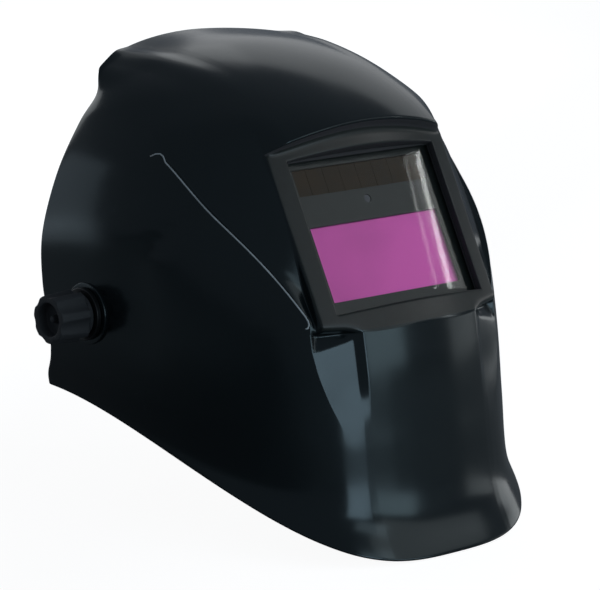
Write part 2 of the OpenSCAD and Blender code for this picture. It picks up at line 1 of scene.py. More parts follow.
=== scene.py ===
"""A flip-up welding helmet: the finished look of every piece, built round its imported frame.

The frame gives the pieces, their bodies and their places. Lengths below are millimetres until a
mesh is made, and x is the wearer's left, y the wearer's back and z up, as in the frame.
"""

import json
import logging
import math
from dataclasses import dataclass, field
from enum import Enum
from typing import Any, Callable, Iterable, Sequence

import bmesh
import bpy
import numpy as np
from mathutils import Matrix, Quaternion, Vector
from mathutils.kdtree import KDTree

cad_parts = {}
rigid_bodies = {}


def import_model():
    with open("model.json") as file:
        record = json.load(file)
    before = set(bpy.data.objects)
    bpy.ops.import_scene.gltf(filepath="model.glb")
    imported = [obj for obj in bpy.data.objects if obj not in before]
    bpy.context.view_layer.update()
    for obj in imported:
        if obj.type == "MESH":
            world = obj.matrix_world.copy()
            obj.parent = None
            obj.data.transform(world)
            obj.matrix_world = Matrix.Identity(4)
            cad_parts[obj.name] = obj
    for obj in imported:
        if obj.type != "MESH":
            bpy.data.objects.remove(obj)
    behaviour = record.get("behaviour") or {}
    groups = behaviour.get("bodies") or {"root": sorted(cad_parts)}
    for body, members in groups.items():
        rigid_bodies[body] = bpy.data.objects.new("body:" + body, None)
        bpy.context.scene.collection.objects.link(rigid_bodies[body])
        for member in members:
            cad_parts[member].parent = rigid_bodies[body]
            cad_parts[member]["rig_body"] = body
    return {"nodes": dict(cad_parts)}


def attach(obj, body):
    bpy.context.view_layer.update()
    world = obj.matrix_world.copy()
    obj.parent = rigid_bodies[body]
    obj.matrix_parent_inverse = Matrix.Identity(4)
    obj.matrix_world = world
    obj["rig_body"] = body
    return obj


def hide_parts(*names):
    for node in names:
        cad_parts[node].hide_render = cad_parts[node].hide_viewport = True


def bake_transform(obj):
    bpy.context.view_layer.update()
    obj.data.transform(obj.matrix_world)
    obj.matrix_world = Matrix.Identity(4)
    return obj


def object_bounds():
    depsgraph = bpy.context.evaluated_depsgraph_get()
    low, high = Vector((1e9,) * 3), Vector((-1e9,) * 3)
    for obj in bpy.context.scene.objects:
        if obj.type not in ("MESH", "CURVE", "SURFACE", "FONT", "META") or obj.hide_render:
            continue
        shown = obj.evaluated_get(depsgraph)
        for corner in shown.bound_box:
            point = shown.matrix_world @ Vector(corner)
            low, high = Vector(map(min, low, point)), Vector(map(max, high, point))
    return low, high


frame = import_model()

LOG = logging.getLogger("helmet")
CAD_BOX = [list(corner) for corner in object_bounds()]
MM = 0.001
Colour = tuple[float, float, float]
Array = np.ndarray


# ---------------------------------------------------------------- numbers and meshes


def linear(colour: Colour) -> tuple[float, float, float, float]:
    """Turns a display colour into the linear one that a shader takes.

    Args:
        colour: red, green and blue from 0 to 1, as a screen shows them.

    Returns:
        The linear colour with an alpha of 1.
    """
    parts = [c / 12.92 if c <= 0.04045 else ((c + 0.055) / 1.055) ** 2.4 for c in colour]
    return (parts[0], parts[1], parts[2], 1.0)


def shade(colour: Colour, share: float = 1.0, lift: float = 0.0) -> tuple[float, float, float, float]:
    """The linear colour of a display colour made darker or paler by a share and a lift."""
    return linear(tuple(min(1.0, c * share + lift) for c in colour))


def soft(low: float, high: float, x: Array) -> Array:
    """A smooth step of x from 0 at low to 1 at high."""
    f = np.clip((x - low) / (high - low), 0.0, 1.0)
    return f * f * (3.0 - 2.0 * f)


def hump(x: Array, centre: Array, half: float) -> Array:
    """A smooth bump of x, 1 at centre and 0 from half away."""
    f = np.maximum(0.0, 1.0 - np.abs(x - centre) / half)
    return f * f * (3.0 - 2.0 * f)


def mix(a: Array, b: Array, f: Array) -> Array:
    """The value a share f of the way from a to b."""
    return a + (b - a) * f


def unit(p: Array) -> Array:
    """Vectors along the last axis, each brought to a length of 1."""
    return p / np.maximum(np.linalg.norm(p, axis=-1, keepdims=True), 1e-9)


def mesh_object(name: str, points: Array, faces: Iterable[Sequence[int]],
                outward: bool = True) -> bpy.types.Object:
    """Makes a smooth-shaded mesh object from points in millimetres.

    Args:
        name: the piece's name.
        points: one row of x, y and z for each vertex.
        faces: vertex numbers, face by face.
        outward: works out which way the faces point.

    Returns:
        The object, at the origin, linked to the scene.
    """
    mesh = bpy.data.meshes.new(name)
    mesh.from_pydata((np.asarray(points, float) * MM).tolist(), [], [list(f) for f in faces])
    mesh.validate()
    if outward:
        shape = bmesh.new()
        shape.from_mesh(mesh)
        bmesh.ops.recalc_face_normals(shape, faces=shape.faces[:])
        shape.to_mesh(mesh)
        shape.free()
    mesh.polygons.foreach_set("use_smooth", [True] * len(mesh.polygons))
    mesh.update()
    made = bpy.data.objects.new(name, mesh)
    bpy.context.scene.collection.objects.link(made)
    return made


def grid_faces(rows: int, cols: int, loop_cols: bool = False) -> list[list[int]]:
    """Quads of a grid of points stored row by row.

    Args:
        rows: number of rows.
        cols: number of columns.
        loop_cols: joins the last column to the first.

    Returns:
        Vertex numbers of each quad.
    """
    quads = []
    for i in range(rows - 1):
        for j in range(cols if loop_cols else cols - 1):
            below, beside = i + 1, (j + 1) % cols
            quads.append([i * cols + j, i * cols + beside, below * cols + beside, below * cols + j])
    return quads


def grid_border(cols: int, top: int, left: int, foot: int, far: int) -> list[int]:
    """Vertex numbers round a block of a grid, clockwise from its top left corner.

    Args:
        cols: columns in the whole grid.
        top: the block's first row.
        left: its first column.
        foot: its last row.
        far: its last column.

    Returns:
        The numbers, each once.
    """
    return [*range(top * cols + left, top * cols + far), *range(top * cols + far, foot * cols + far, cols),
            *range(foot * cols + far, foot * cols + left, -1),
            *range(foot * cols + left, top * cols + left, -cols)]


def lathe(profile: Sequence[tuple[float, float]], sides: int,
          shape: Callable[[Array, float, float], Array] | None = None) -> tuple[Array, list[list[int]]]:
    """Turns a profile about the z axis.

    Args:
        profile: radius and height of each ring, first to last; a radius of 0 closes an end.
        sides: points in each ring.
        shape: gives each ring's radii from its angles, radius and height.

    Returns:
        The points and faces.
    """
    angles = np.arange(sides) * 2.0 * math.pi / sides
    points, faces, rings = [], [], []
    for radius, height in profile:
        if radius <= 0.0:
            rings.append([len(points)])
            points.append([0.0, 0.0, height])
            continue
        radii = shape(angles, radius, height) if shape else np.full(sides, radius)
        rings.append(list(range(len(points), len(points) + sides)))
        points.extend(np.c_[radii * np.cos(angles), radii * np.sin(angles), np.full(sides, height)].tolist())
    for lower, upper in zip(rings, rings[1:]):
        for k in range(sides):
            n = (k + 1) % sides
            if len(lower) == 1:
                faces.append([lower[0], upper[n], upper[k]])
            elif len(upper) == 1:
                faces.append([lower[k], lower[n], upper[0]])
            else:
                faces.append([lower[k], lower[n], upper[n], upper[k]])
    return np.array(points), faces


def rounded(profile: Sequence[tuple[float, float]], radius: float,
            steps: int = 3) -> list[tuple[float, float]]:
    """Rounds the inner corners of an open profile.

    Args:
        profile: the corner points.
        radius: how far from a corner its round starts.
        steps: points on each round, less one.

    Returns:
        The rounded profile.
    """
    points = [np.array(p, float) for p in profile]
    made = [tuple(points[0])]
    for before, here, after in zip(points, points[1:], points[2:]):
        to_before, to_after = before - here, after - here
        reach = min(radius, 0.45 * np.linalg.norm(to_before), 0.45 * np.linalg.norm(to_after))
        start, end = here + unit(to_before) * reach, here + unit(to_after) * reach
        for k in range(steps + 1):
            f = k / steps
            made.append(tuple((1 - f) ** 2 * start + 2 * f * (1 - f) * here + f ** 2 * end))
    made.append(tuple(points[-1]))
    return made


# ---------------------------------------------------------------- shader trees


class Sock:
    """An output or a number in a shader tree that takes part in arithmetic."""

    def __init__(self, tree: "NodeTree", socket: Any) -> None:
        """Wraps a node's output socket of a tree."""
        self.tree = tree
        self.socket = socket

    def _math(self, operation: str, a: Any, b: Any, clamp: bool = False) -> "Sock":
        """Adds a Math node of an operation on a and b."""
        return self.tree.node("ShaderNodeMath", {"operation": operation, "use_clamp": clamp}, {0: a, 1: b})

    def __add__(self, other: Any) -> "Sock":
        """The sum."""
        return self._math("ADD", self, other)

    def __radd__(self, other: Any) -> "Sock":
        """The sum, with the number first."""
        return self._math("ADD", other, self)

    def __sub__(self, other: Any) -> "Sock":
        """The difference."""
        return self._math("SUBTRACT", self, other)

    def __rsub__(self, other: Any) -> "Sock":
        """The difference, with the number first."""
        return self._math("SUBTRACT", other, self)

    def __mul__(self, other: Any) -> "Sock":
        """The product."""
        return self._math("MULTIPLY", self, other)

    def __rmul__(self, other: Any) -> "Sock":
        """The product, with the number first."""
        return self._math("MULTIPLY", other, self)

    def __truediv__(self, other: Any) -> "Sock":
        """The quotient."""
        return self._math("DIVIDE", self, other)

    def __pow__(self, other: Any) -> "Sock":
        """The power."""
        return self._math("POWER", self, other)

    def maximum(self, other: Any) -> "Sock":
        """The larger of the two."""
        return self._math("MAXIMUM", self, other)

    def clamped(self) -> "Sock":
        """The value kept between 0 and 1."""
        return self._math("ADD", self, 0.0, clamp=True)

    def above(self, level: float, width: float) -> "Sock":
        """A ramp from 0 at level to 1 at level + width, kept between them."""
        return ((self - level) / width).clamped()


class NodeTree:
    """A node tree, and how a node is added to it."""

    tree: bpy.types.NodeTree

    def node(self, kind: str, settings: dict[str, Any] | None = None,
             inputs: dict[Any, Any] | None = None, output: Any = 0) -> Sock:
        """Adds a node, sets it and links or fills its inputs.

        Args:
            kind: the node's type name.
            settings: its properties, and "stops" for a colour ramp.
            inputs: values or Socks by the input's name or number.
            output: name or number of the output that is wanted.

        Returns:
            That output.
        """
        made = self.tree.nodes.new(kind)
        for key, value in (settings or {}).items():
            setattr(made, key, value)
        for key, value in (inputs or {}).items():
            socket = made.inputs[key]
            if isinstance(value, Sock):
                self.tree.links.new(value.socket, socket)
            else:
                socket.default_value = value
        return Sock(self, made.outputs[output])

    def blend(self, share: Any, a: Any, b: Any) -> Sock:
        """A colour a share of the way from a to b."""
        return self.node("ShaderNodeMix", {"data_type": "RGBA"}, {0: share, 6: a, 7: b}, output=2)

    def output(self, shader: Sock, kind: str = "ShaderNodeOutputMaterial") -> None:
        """Ends the tree in an output node with the shader as its surface."""
        last = self.tree.nodes.new(kind)
        self.tree.links.new(shader.socket, last.inputs["Surface"])


class ShaderTree(NodeTree):
    """A material's node tree and the few kinds of node that the finishes share."""

    def __init__(self, name: str) -> None:
        """Starts an empty material of that name."""
        self.material = bpy.data.materials.new(name)
        self.material.use_nodes = True
        self.tree = self.material.node_tree
        self.tree.nodes.clear()

    def place(self, scale: Sequence[float] = (1.0, 1.0, 1.0),
              turn: Sequence[float] = (0.0, 0.0, 0.0)) -> Sock:
        """Object coordinates in metres, turned and scaled by a Mapping node."""
        source = self.node("ShaderNodeTexCoord", output="Object")
        return self.node("ShaderNodeMapping", None, {"Vector": source, "Scale": scale, "Rotation": turn})

    def noise(self, size: float, detail: float = 3.0, rough: float = 0.5, where: Sock | None = None) -> Sock:
        """Fractal noise whose blobs are about size millimetres across."""
        return self.node("ShaderNodeTexNoise", None, {
            "Vector": where or self.place(), "Scale": 1.0 / (size * MM), "Detail": detail,
            "Roughness": rough})

    def bump(self, height: Sock, depth: float, strength: float = 1.0, under: Sock | None = None) -> Sock:
        """A normal bent by a height, where a height of 1 stands depth millimetres proud."""
        inputs: dict[Any, Any] = {"Height": height, "Distance": depth * MM, "Strength": strength}
        if under is not None:
            inputs["Normal"] = under
        return self.node("ShaderNodeBump", None, inputs)

    def scratches(self, size: float, share: float, turn: Sequence[float]) -> Sock:
        """Fine hairline marks that run one way; 1 on a mark and 0 off it."""
        lines = self.noise(size, 2.0, 0.4, self.place((1.0, 0.02, 1.0), turn))
        where = self.noise(size * 18.0, 2.0, 0.5)
        return lines.above(1.0 - share, 0.02) * where.above(0.52, 0.1)

    def surface(self, inputs: dict[str, Any]) -> bpy.types.Material:
        """Ends the tree in one Principled shader with those inputs."""
        self.output(self.node("ShaderNodeBsdfPrincipled", None, inputs))
        return self.material


# ---------------------------------------------------------------- finishes


@dataclass(frozen=True)
class GlossMoulding:
    """Injection-moulded shell plastic with a deep gloss, a faint ripple and handling marks."""

    name: str = "gloss_moulding"
    colour: Colour = (0.062, 0.084, 0.092)
    roughness: float = 0.17
    ripple: float = 0.006
    tint: Colour = (0.80, 0.96, 1.0)

    def material(self) -> bpy.types.Material:
        """Builds the material."""
        tree = ShaderTree(self.name)
        cloud = tree.noise(55.0, 4.0)
        grain = tree.noise(0.9, 2.0)
        haze = tree.noise(9.0, 5.0, 0.62)
        marks = tree.scratches(0.5, 0.30, (0.3, 0.2, 0.7)).maximum(tree.scratches(0.6, 0.28, (1.1, 0.4, 2.1)))
        rough = self.roughness + 0.05 * (haze - 0.5) + 0.03 * (grain - 0.5) + 0.10 * marks
        wave = tree.bump(tree.noise(14.0, 2.0, 0.4), 0.10, 0.20)
        skin = tree.bump(grain, self.ripple, 0.5, wave)
        return tree.surface({
            "Base Color": tree.blend(cloud.above(0.35, 0.3), shade(self.colour), shade(self.colour, 1.16)),
            "Roughness": rough.clamped(), "IOR": 1.52, "Specular Tint": (*self.tint, 1.0), "Normal": skin})


@dataclass(frozen=True)
class SatinPlastic:
    """Plain moulded plastic with a spark-eroded grain."""

    name: str
    colour: Colour
    roughness: float = 0.42
    grain: float = 0.03
    size: float = 0.55
    shine: float = 0.5

    def material(self) -> bpy.types.Material:
        """Builds the material."""
        tree = ShaderTree(self.name)
        fine = tree.noise(self.size, 3.0, 0.6)
        haze = tree.noise(7.0, 4.0, 0.6)
        tone = haze.above(0.38, 0.3) * 0.7 + fine.above(0.5, 0.3) * 0.3
        rough = self.roughness + 0.12 * (haze - 0.5) + 0.10 * (fine - 0.5)
        return tree.surface({
            "Base Color": tree.blend(tone, shade(self.colour), shade(self.colour, 1.22, 0.004)),
            "Roughness": rough.clamped(), "IOR": 1.5, "Specular IOR Level": self.shine,
            "Normal": tree.bump(fine, self.grain, 0.6)})


@dataclass(frozen=True)
class PlatedSteel:
    """Plated or turned metal with tool marks one way."""

    name: str
    colour: Colour
    roughness: float = 0.28

    def material(self) -> bpy.types.Material:
        """Builds the material."""
        tree = ShaderTree(self.name)
        turned = tree.noise(0.35, 2.0, 0.5, tree.place((1.0, 1.0, 0.08)))
        dull = tree.noise(4.0, 4.0, 0.6)
        rough = self.roughness + 0.16 * (dull - 0.4) + 0.08 * (turned - 0.5)
        return tree.surface({
            "Base Color": tree.blend(dull.above(0.45, 0.3), shade(self.colour), shade(self.colour, 0.78)),
            "Metallic": 1.0, "Roughness": rough.clamped(), "Normal": tree.bump(turned, 0.012, 0.5)})


@dataclass(frozen=True)
class ClearPane:
    """Clear polycarbonate with a faint greenish mirror on its outer face."""

    name: str = "clear_pane"
    roughness: float = 0.04
    mirror: float = 0.38
    seen_through: Colour = (0.93, 0.95, 0.95)
    mirrored: Colour = (0.97, 1.0, 0.98)

    def material(self) -> bpy.types.Material:
        """Builds the material: see-through, with a mirror that grows towards the edge of sight."""
        tree = ShaderTree(self.name)
        glancing = tree.node("ShaderNodeFresnel", None, {"IOR": 1.5})
        leaving = tree.node("ShaderNodeNewGeometry", output="Backfacing")
        clear = tree.node("ShaderNodeBsdfTransparent", None, {"Color": (*self.seen_through, 1.0)})
        front = tree.node("ShaderNodeBsdfPrincipled", None, {
            "Base Color": (*self.mirrored, 1.0), "Metallic": 1.0, "Roughness": self.roughness})
        share = (glancing * self.mirror * (1.0 - leaving)).clamped()
        tree.output(tree.node("ShaderNodeMixShader", None, {0: share, 1: clear, 2: front}))
        return tree.material


@dataclass(frozen=True)
class CoatedGlass:
    """The filter's coated glass: a purple mirror coating over a little haze."""

    name: str = "coated_glass"
    colour: Colour = (0.90, 0.375, 0.74)

    def material(self) -> bpy.types.Material:
        """Builds the material."""
        tree = ShaderTree(self.name)
        cloud = tree.noise(40.0, 2.0, 0.4).above(0.35, 0.3)
        return tree.surface({
            "Base Color": tree.blend(cloud, shade(self.colour, 0.93), shade(self.colour)), "Metallic": 0.6,
            "Roughness": 0.30 + 0.03 * tree.noise(6.0, 3.0), "IOR": 1.5})


@dataclass(frozen=True)
class SolarCells:
    """Thin-film cells: dull brown with cloudy patches."""

    name: str = "solar_cells"
    colour: Colour = (0.235, 0.150, 0.025)

    def material(self) -> bpy.types.Material:
        """Builds the material."""
        tree = ShaderTree(self.name)
        cloud = tree.noise(16.0, 3.0).above(0.3, 0.4)
        return tree.surface({
            "Base Color": tree.blend(cloud, shade(self.colour, 0.72), shade(self.colour)),
            "Roughness": 0.28 + 0.05 * cloud, "IOR": 1.5, "Specular IOR Level": 0.12})


@dataclass(frozen=True)
class FoamCloth:
    """Brushed knit over foam, with the knit as rows of fine loops."""

    name: str
    colour: Colour
    loop: float = 1.1

    def material(self) -> bpy.types.Material:
        """Builds the material."""
        tree = ShaderTree(self.name)
        cells = tree.node("ShaderNodeTexVoronoi", {"feature": "F1"},
                          {"Vector": tree.place(), "Scale": 1.0 / (self.loop * MM), "Randomness": 0.45})
        fuzz = tree.noise(0.35, 3.0, 0.7)
        worn = tree.noise(22.0, 4.0, 0.6)
        tone = (0.45 * (1.0 - cells) + 0.3 * fuzz + 0.35 * worn).clamped()
        height = (1.0 - cells) + 0.4 * fuzz
        return tree.surface({
            "Base Color": tree.blend(tone, shade(self.colour, 0.68), shade(self.colour, 1.25)),
            "Roughness": 0.88 + 0.08 * (fuzz - 0.5),
            "Sheen Weight": 0.35, "Sheen Roughness": 0.45, "Specular IOR Level": 0.25,
            "Normal": tree.bump(height, 0.25, 0.7)})


@dataclass(frozen=True)
class BoardLacquer:
    """Green solder mask over tracks."""

    name: str = "board_lacquer"
    colour: Colour = (0.05, 0.27, 0.15)
    track: Colour = (0.11, 0.40, 0.22)
    pitch: float = 4.0

    def material(self) -> bpy.types.Material:
        """Builds the material."""
        tree = ShaderTree(self.name)
        tracks = tree.node("ShaderNodeTexVoronoi", {"feature": "DISTANCE_TO_EDGE"},
                           {"Vector": tree.place(), "Scale": 1.0 / (self.pitch * MM), "Randomness": 0.3})
        line = 1.0 - tracks.above(0.06, 0.03)
        return tree.surface({
            "Base Color": tree.blend(line, linear(self.colour), linear(self.track)),
            "Roughness": 0.35 + 0.1 * line, "Normal": tree.bump(line, 0.05, 0.5)})


class Look(Enum):
    """The finishes on the helmet, each built once."""

    SHELL = GlossMoulding()
    FRAME = SatinPlastic("window_frame_plastic", (0.105, 0.130, 0.122), 0.34, 0.015, 0.7)
    # The holder's own dark plastic, also laid on the shell's brow step as painted shade under the brow.
    HOLDER_AND_SHADE = SatinPlastic("holder_plastic", (0.040, 0.046, 0.048), 0.55, 0.02, shine=0.2)
    CARTRIDGE = SatinPlastic("cartridge_plastic", (0.100, 0.118, 0.112), 0.40, 0.02)
    KNOB = SatinPlastic("knob_plastic", (0.115, 0.135, 0.140), 0.30, 0.02, 0.8)
    WASHER = SatinPlastic("washer_nylon", (0.055, 0.065, 0.070), 0.36, 0.02)
    PALE_WASHER = SatinPlastic("bearing_nylon", (0.78, 0.76, 0.70), 0.40, 0.02)
    BAND = SatinPlastic("band_plastic", (0.120, 0.122, 0.128), 0.44, 0.04, 0.8)
    ARM = SatinPlastic("arm_plastic", (0.140, 0.143, 0.150), 0.42, 0.04, 0.8)
    STEEL = PlatedSteel("zinc_steel", (0.66, 0.67, 0.69), 0.28)
    BRASS = PlatedSteel("passivated_nut", (0.72, 0.68, 0.52), 0.32)
    SPRING = PlatedSteel("spring_steel", (0.58, 0.60, 0.63), 0.22)
    PINION = SatinPlastic("acetal", (0.80, 0.79, 0.75), 0.35, 0.01)
    PANE = ClearPane()
    FILTER = CoatedGlass()
    CELLS = SolarCells()
    SENSOR = SatinPlastic("sensor_lens", (0.30, 0.30, 0.33), 0.12, 0.0)
    LCD = SatinPlastic("lcd_stack", (0.16, 0.20, 0.13), 0.20, 0.0)
    BOARD = BoardLacquer()
    SLIDER = SatinPlastic("slider_plastic", (0.60, 0.61, 0.62), 0.40, 0.02)
    # A pale strip along each side panel's edge: partly a printed stripe, partly a painted highlight.
    LINE = SatinPlastic("pale_stripe_and_highlight", (0.66, 0.69, 0.70), 0.35, 0.0)
    THREAD = SatinPlastic("sewing_thread", (0.30, 0.31, 0.33), 0.70, 0.03, 0.3)
    BROW_FOAM = FoamCloth("brow_cloth", (0.185, 0.190, 0.205))
    NAPE_FOAM = FoamCloth("nape_cloth", (0.175, 0.180, 0.195))

    def material(self) -> bpy.types.Material:
        """The finish's material, built on its first use."""
        return bpy.data.materials.get(self.value.name) or self.value.material()


def dress(piece: bpy.types.Object, look: Look, body: str, *nodes: str) -> bpy.types.Object:
    """Gives a finished piece its material and its body.

    Args:
        piece: the object, in place.
        look: its finish.
        body: the body it rides on.
        nodes: the frame's nodes that it stands for.

    Returns:
        The same object.
    """
    piece.data.materials.clear()
    piece.data.materials.append(look.material())
    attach(piece, body)
    if nodes:
        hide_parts(*nodes)
    LOG.info("%s rides on %s, for %s", piece.name, body, ", ".join(nodes) or "no node")
    return piece


def rounded_copy(node: str, bevel: float) -> bpy.types.Object:
    """A free copy of a node's solid with its flats joined and its edges rounded.

    Args:
        node: the frame's node.
        bevel: width of the rounded edges in millimetres.

    Returns:
        The copy, which rides on nothing yet.
    """
    shape = bmesh.new()
    shape.from_mesh(frame["nodes"][node].data)
    bmesh.ops.remove_doubles(shape, verts=shape.verts[:], dist=0.004 * MM)
    bmesh.ops.dissolve_limit(shape, angle_limit=math.radians(0.6), verts=shape.verts[:], edges=shape.edges[:])
    mesh = bpy.data.meshes.new(f"{node}_piece")
    shape.to_mesh(mesh)
    shape.free()
    piece = bpy.data.objects.new(mesh.name, mesh)
    bpy.context.scene.collection.objects.link(piece)
    mesh.polygons.foreach_set("use_smooth", [True] * len(mesh.polygons))
    mesh.set_sharp_from_angle(angle=math.radians(38))
    if bevel > 0:
        rounding = piece.modifiers.new("rounding", "BEVEL")
        rounding.width = bevel * MM
        rounding.segments = 2
        rounding.limit_method = "ANGLE"
        rounding.angle_limit = math.radians(38)
        rounding.harden_normals = True
    return piece


def refined(node: str, look: Look, bevel: float = 0.35) -> bpy.types.Object:
    """A rounded copy of a node's solid, dressed, on the node's body and standing for the node."""
    return dress(rounded_copy(node, bevel), look, frame["nodes"][node]["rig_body"], node)


# ---------------------------------------------------------------- geometry trees


class GeoTree(NodeTree):
    """A geometry tree with named inputs, run once and kept as a plain mesh."""

    def __init__(self, name: str, **sizes: str) -> None:
        """Starts a tree.

        Args:
            name: the tree's name.
            sizes: each named input's socket type, short for NodeSocketFloat and the like.
        """
        self.tree = bpy.data.node_groups.new(name, "GeometryNodeTree")
        face = self.tree.interface
        self.keys = {label: face.new_socket(label, in_out="INPUT", socket_type=f"NodeSocket{kind}").identifier
                     for label, kind in sizes.items()}
        face.new_socket("Geometry", in_out="OUTPUT", socket_type="NodeSocketGeometry")
        self.start = self.tree.nodes.new("NodeGroupInput")

    def size(self, label: str) -> Sock:
        """A named input."""
        return Sock(self, self.start.outputs[label])

    def vector(self, x: Any, y: Any, z: Any) -> Sock:
        """A vector made of three numbers."""
        return self.node("ShaderNodeCombineXYZ", None, {0: x, 1: y, 2: z})

    def solid(self, kind: str, sizes: dict[str, Any]) -> Sock:
        """A primitive mesh, such as a Cube, of those sizes."""
        return self.node(f"GeometryNodeMesh{kind}", None, sizes, "Mesh")

    def corners(self, across: Any, up: Any) -> Sock:
        """The corners of a rectangle whose half sizes are across and up, as points."""
        return self.solid("Grid", {
            "Size X": across * 2.0, "Size Y": up * 2.0, "Vertices X": 2, "Vertices Y": 2})

    def moved(self, shape: Sock, where: Any) -> Sock:
        """A shape shifted, in metres."""
        return self.node("GeometryNodeTransform", None, {"Geometry": shape, "Translation": where})

    def scaled(self, shape: Sock, x: Any, y: Any, z: Any) -> Sock:
        """A shape scaled along each axis."""
        return self.node("GeometryNodeTransform", None, {"Geometry": shape, "Scale": self.vector(x, y, z)})

    def joined(self, *shapes: Sock) -> Sock:
        """Several shapes as one."""
        made = self.tree.nodes.new("GeometryNodeJoinGeometry")
        for shape in shapes:
            self.tree.links.new(shape.socket, made.inputs[0])
        return Sock(self, made.outputs[0])

    def cut(self, shape: Sock, *tools: Sock) -> Sock:
        """A shape less the tools."""
        made = self.tree.nodes.new("GeometryNodeMeshBoolean")
        made.operation = "DIFFERENCE"
        made.solver = "EXACT"
        self.tree.links.new(shape.socket, made.inputs[0])
        for tool in tools:
            self.tree.links.new(tool.socket, made.inputs[1])
        return Sock(self, made.outputs[0])

    def copies(self, points: Sock, shape: Sock, turn: Any = (0.0, 0.0, 0.0)) -> Sock:
        """A copy of the shape at each point."""
        return self.node("GeometryNodeInstanceOnPoints", None,
                         {"Points": points, "Instance": shape, "Rotation": turn})

    def piece(self, name: str, look: "Look", result: Sock, **values: float) -> bpy.types.Object:
        """Runs the tree and keeps what it makes.

        Args:
            name: the piece's name.
            look: its finish.
            result: the tree's last shape.
            values: a number for each named input.

        Returns:
            A plain mesh piece that rides on nothing yet.
        """
        real = self.node("GeometryNodeRealizeInstances", None, {0: result})
        flat = self.node("GeometryNodeSetShadeSmooth", None, {"Geometry": real})
        done = self.node("GeometryNodeSetMaterial", None, {"Geometry": flat, "Material": look.material()})
        end = self.tree.nodes.new("NodeGroupOutput")
        self.tree.links.new(done.socket, end.inputs[0])
        holder = mesh_object(f"{name}_seed", np.zeros((1, 3)), [], outward=False)
        step = holder.modifiers.new("build", "NODES")
        step.node_group = self.tree
        for label, value in values.items():
            step[self.keys[label]] = value
        made = frozen(holder, name)
        made.data.set_sharp_from_angle(angle=math.radians(40))
        return made


def frozen(source: bpy.types.Object, name: str) -> bpy.types.Object:
    """Turns an object into a plain mesh as its modifiers leave it, and removes the source."""
    bpy.context.view_layer.update()
    seen = source.evaluated_get(bpy.context.evaluated_depsgraph_get())
    mesh = bpy.data.meshes.new_from_object(seen)
    mesh.name = name
    made = bpy.data.objects.new(name, mesh)
    made.matrix_world = source.matrix_world.copy()
    bpy.context.scene.collection.objects.link(made)
    bpy.data.objects.remove(source)
    return made


# ---------------------------------------------------------------- shell


class Zone(Enum):
    """The strips that the shell's grid is made of, from the window's middle to the rear edge."""

    WINDOW = 0
    MARGIN = 1
    FRAME_WALL = 2
    FACET = 3
    PANEL_STEP = 4
    PANEL = 5


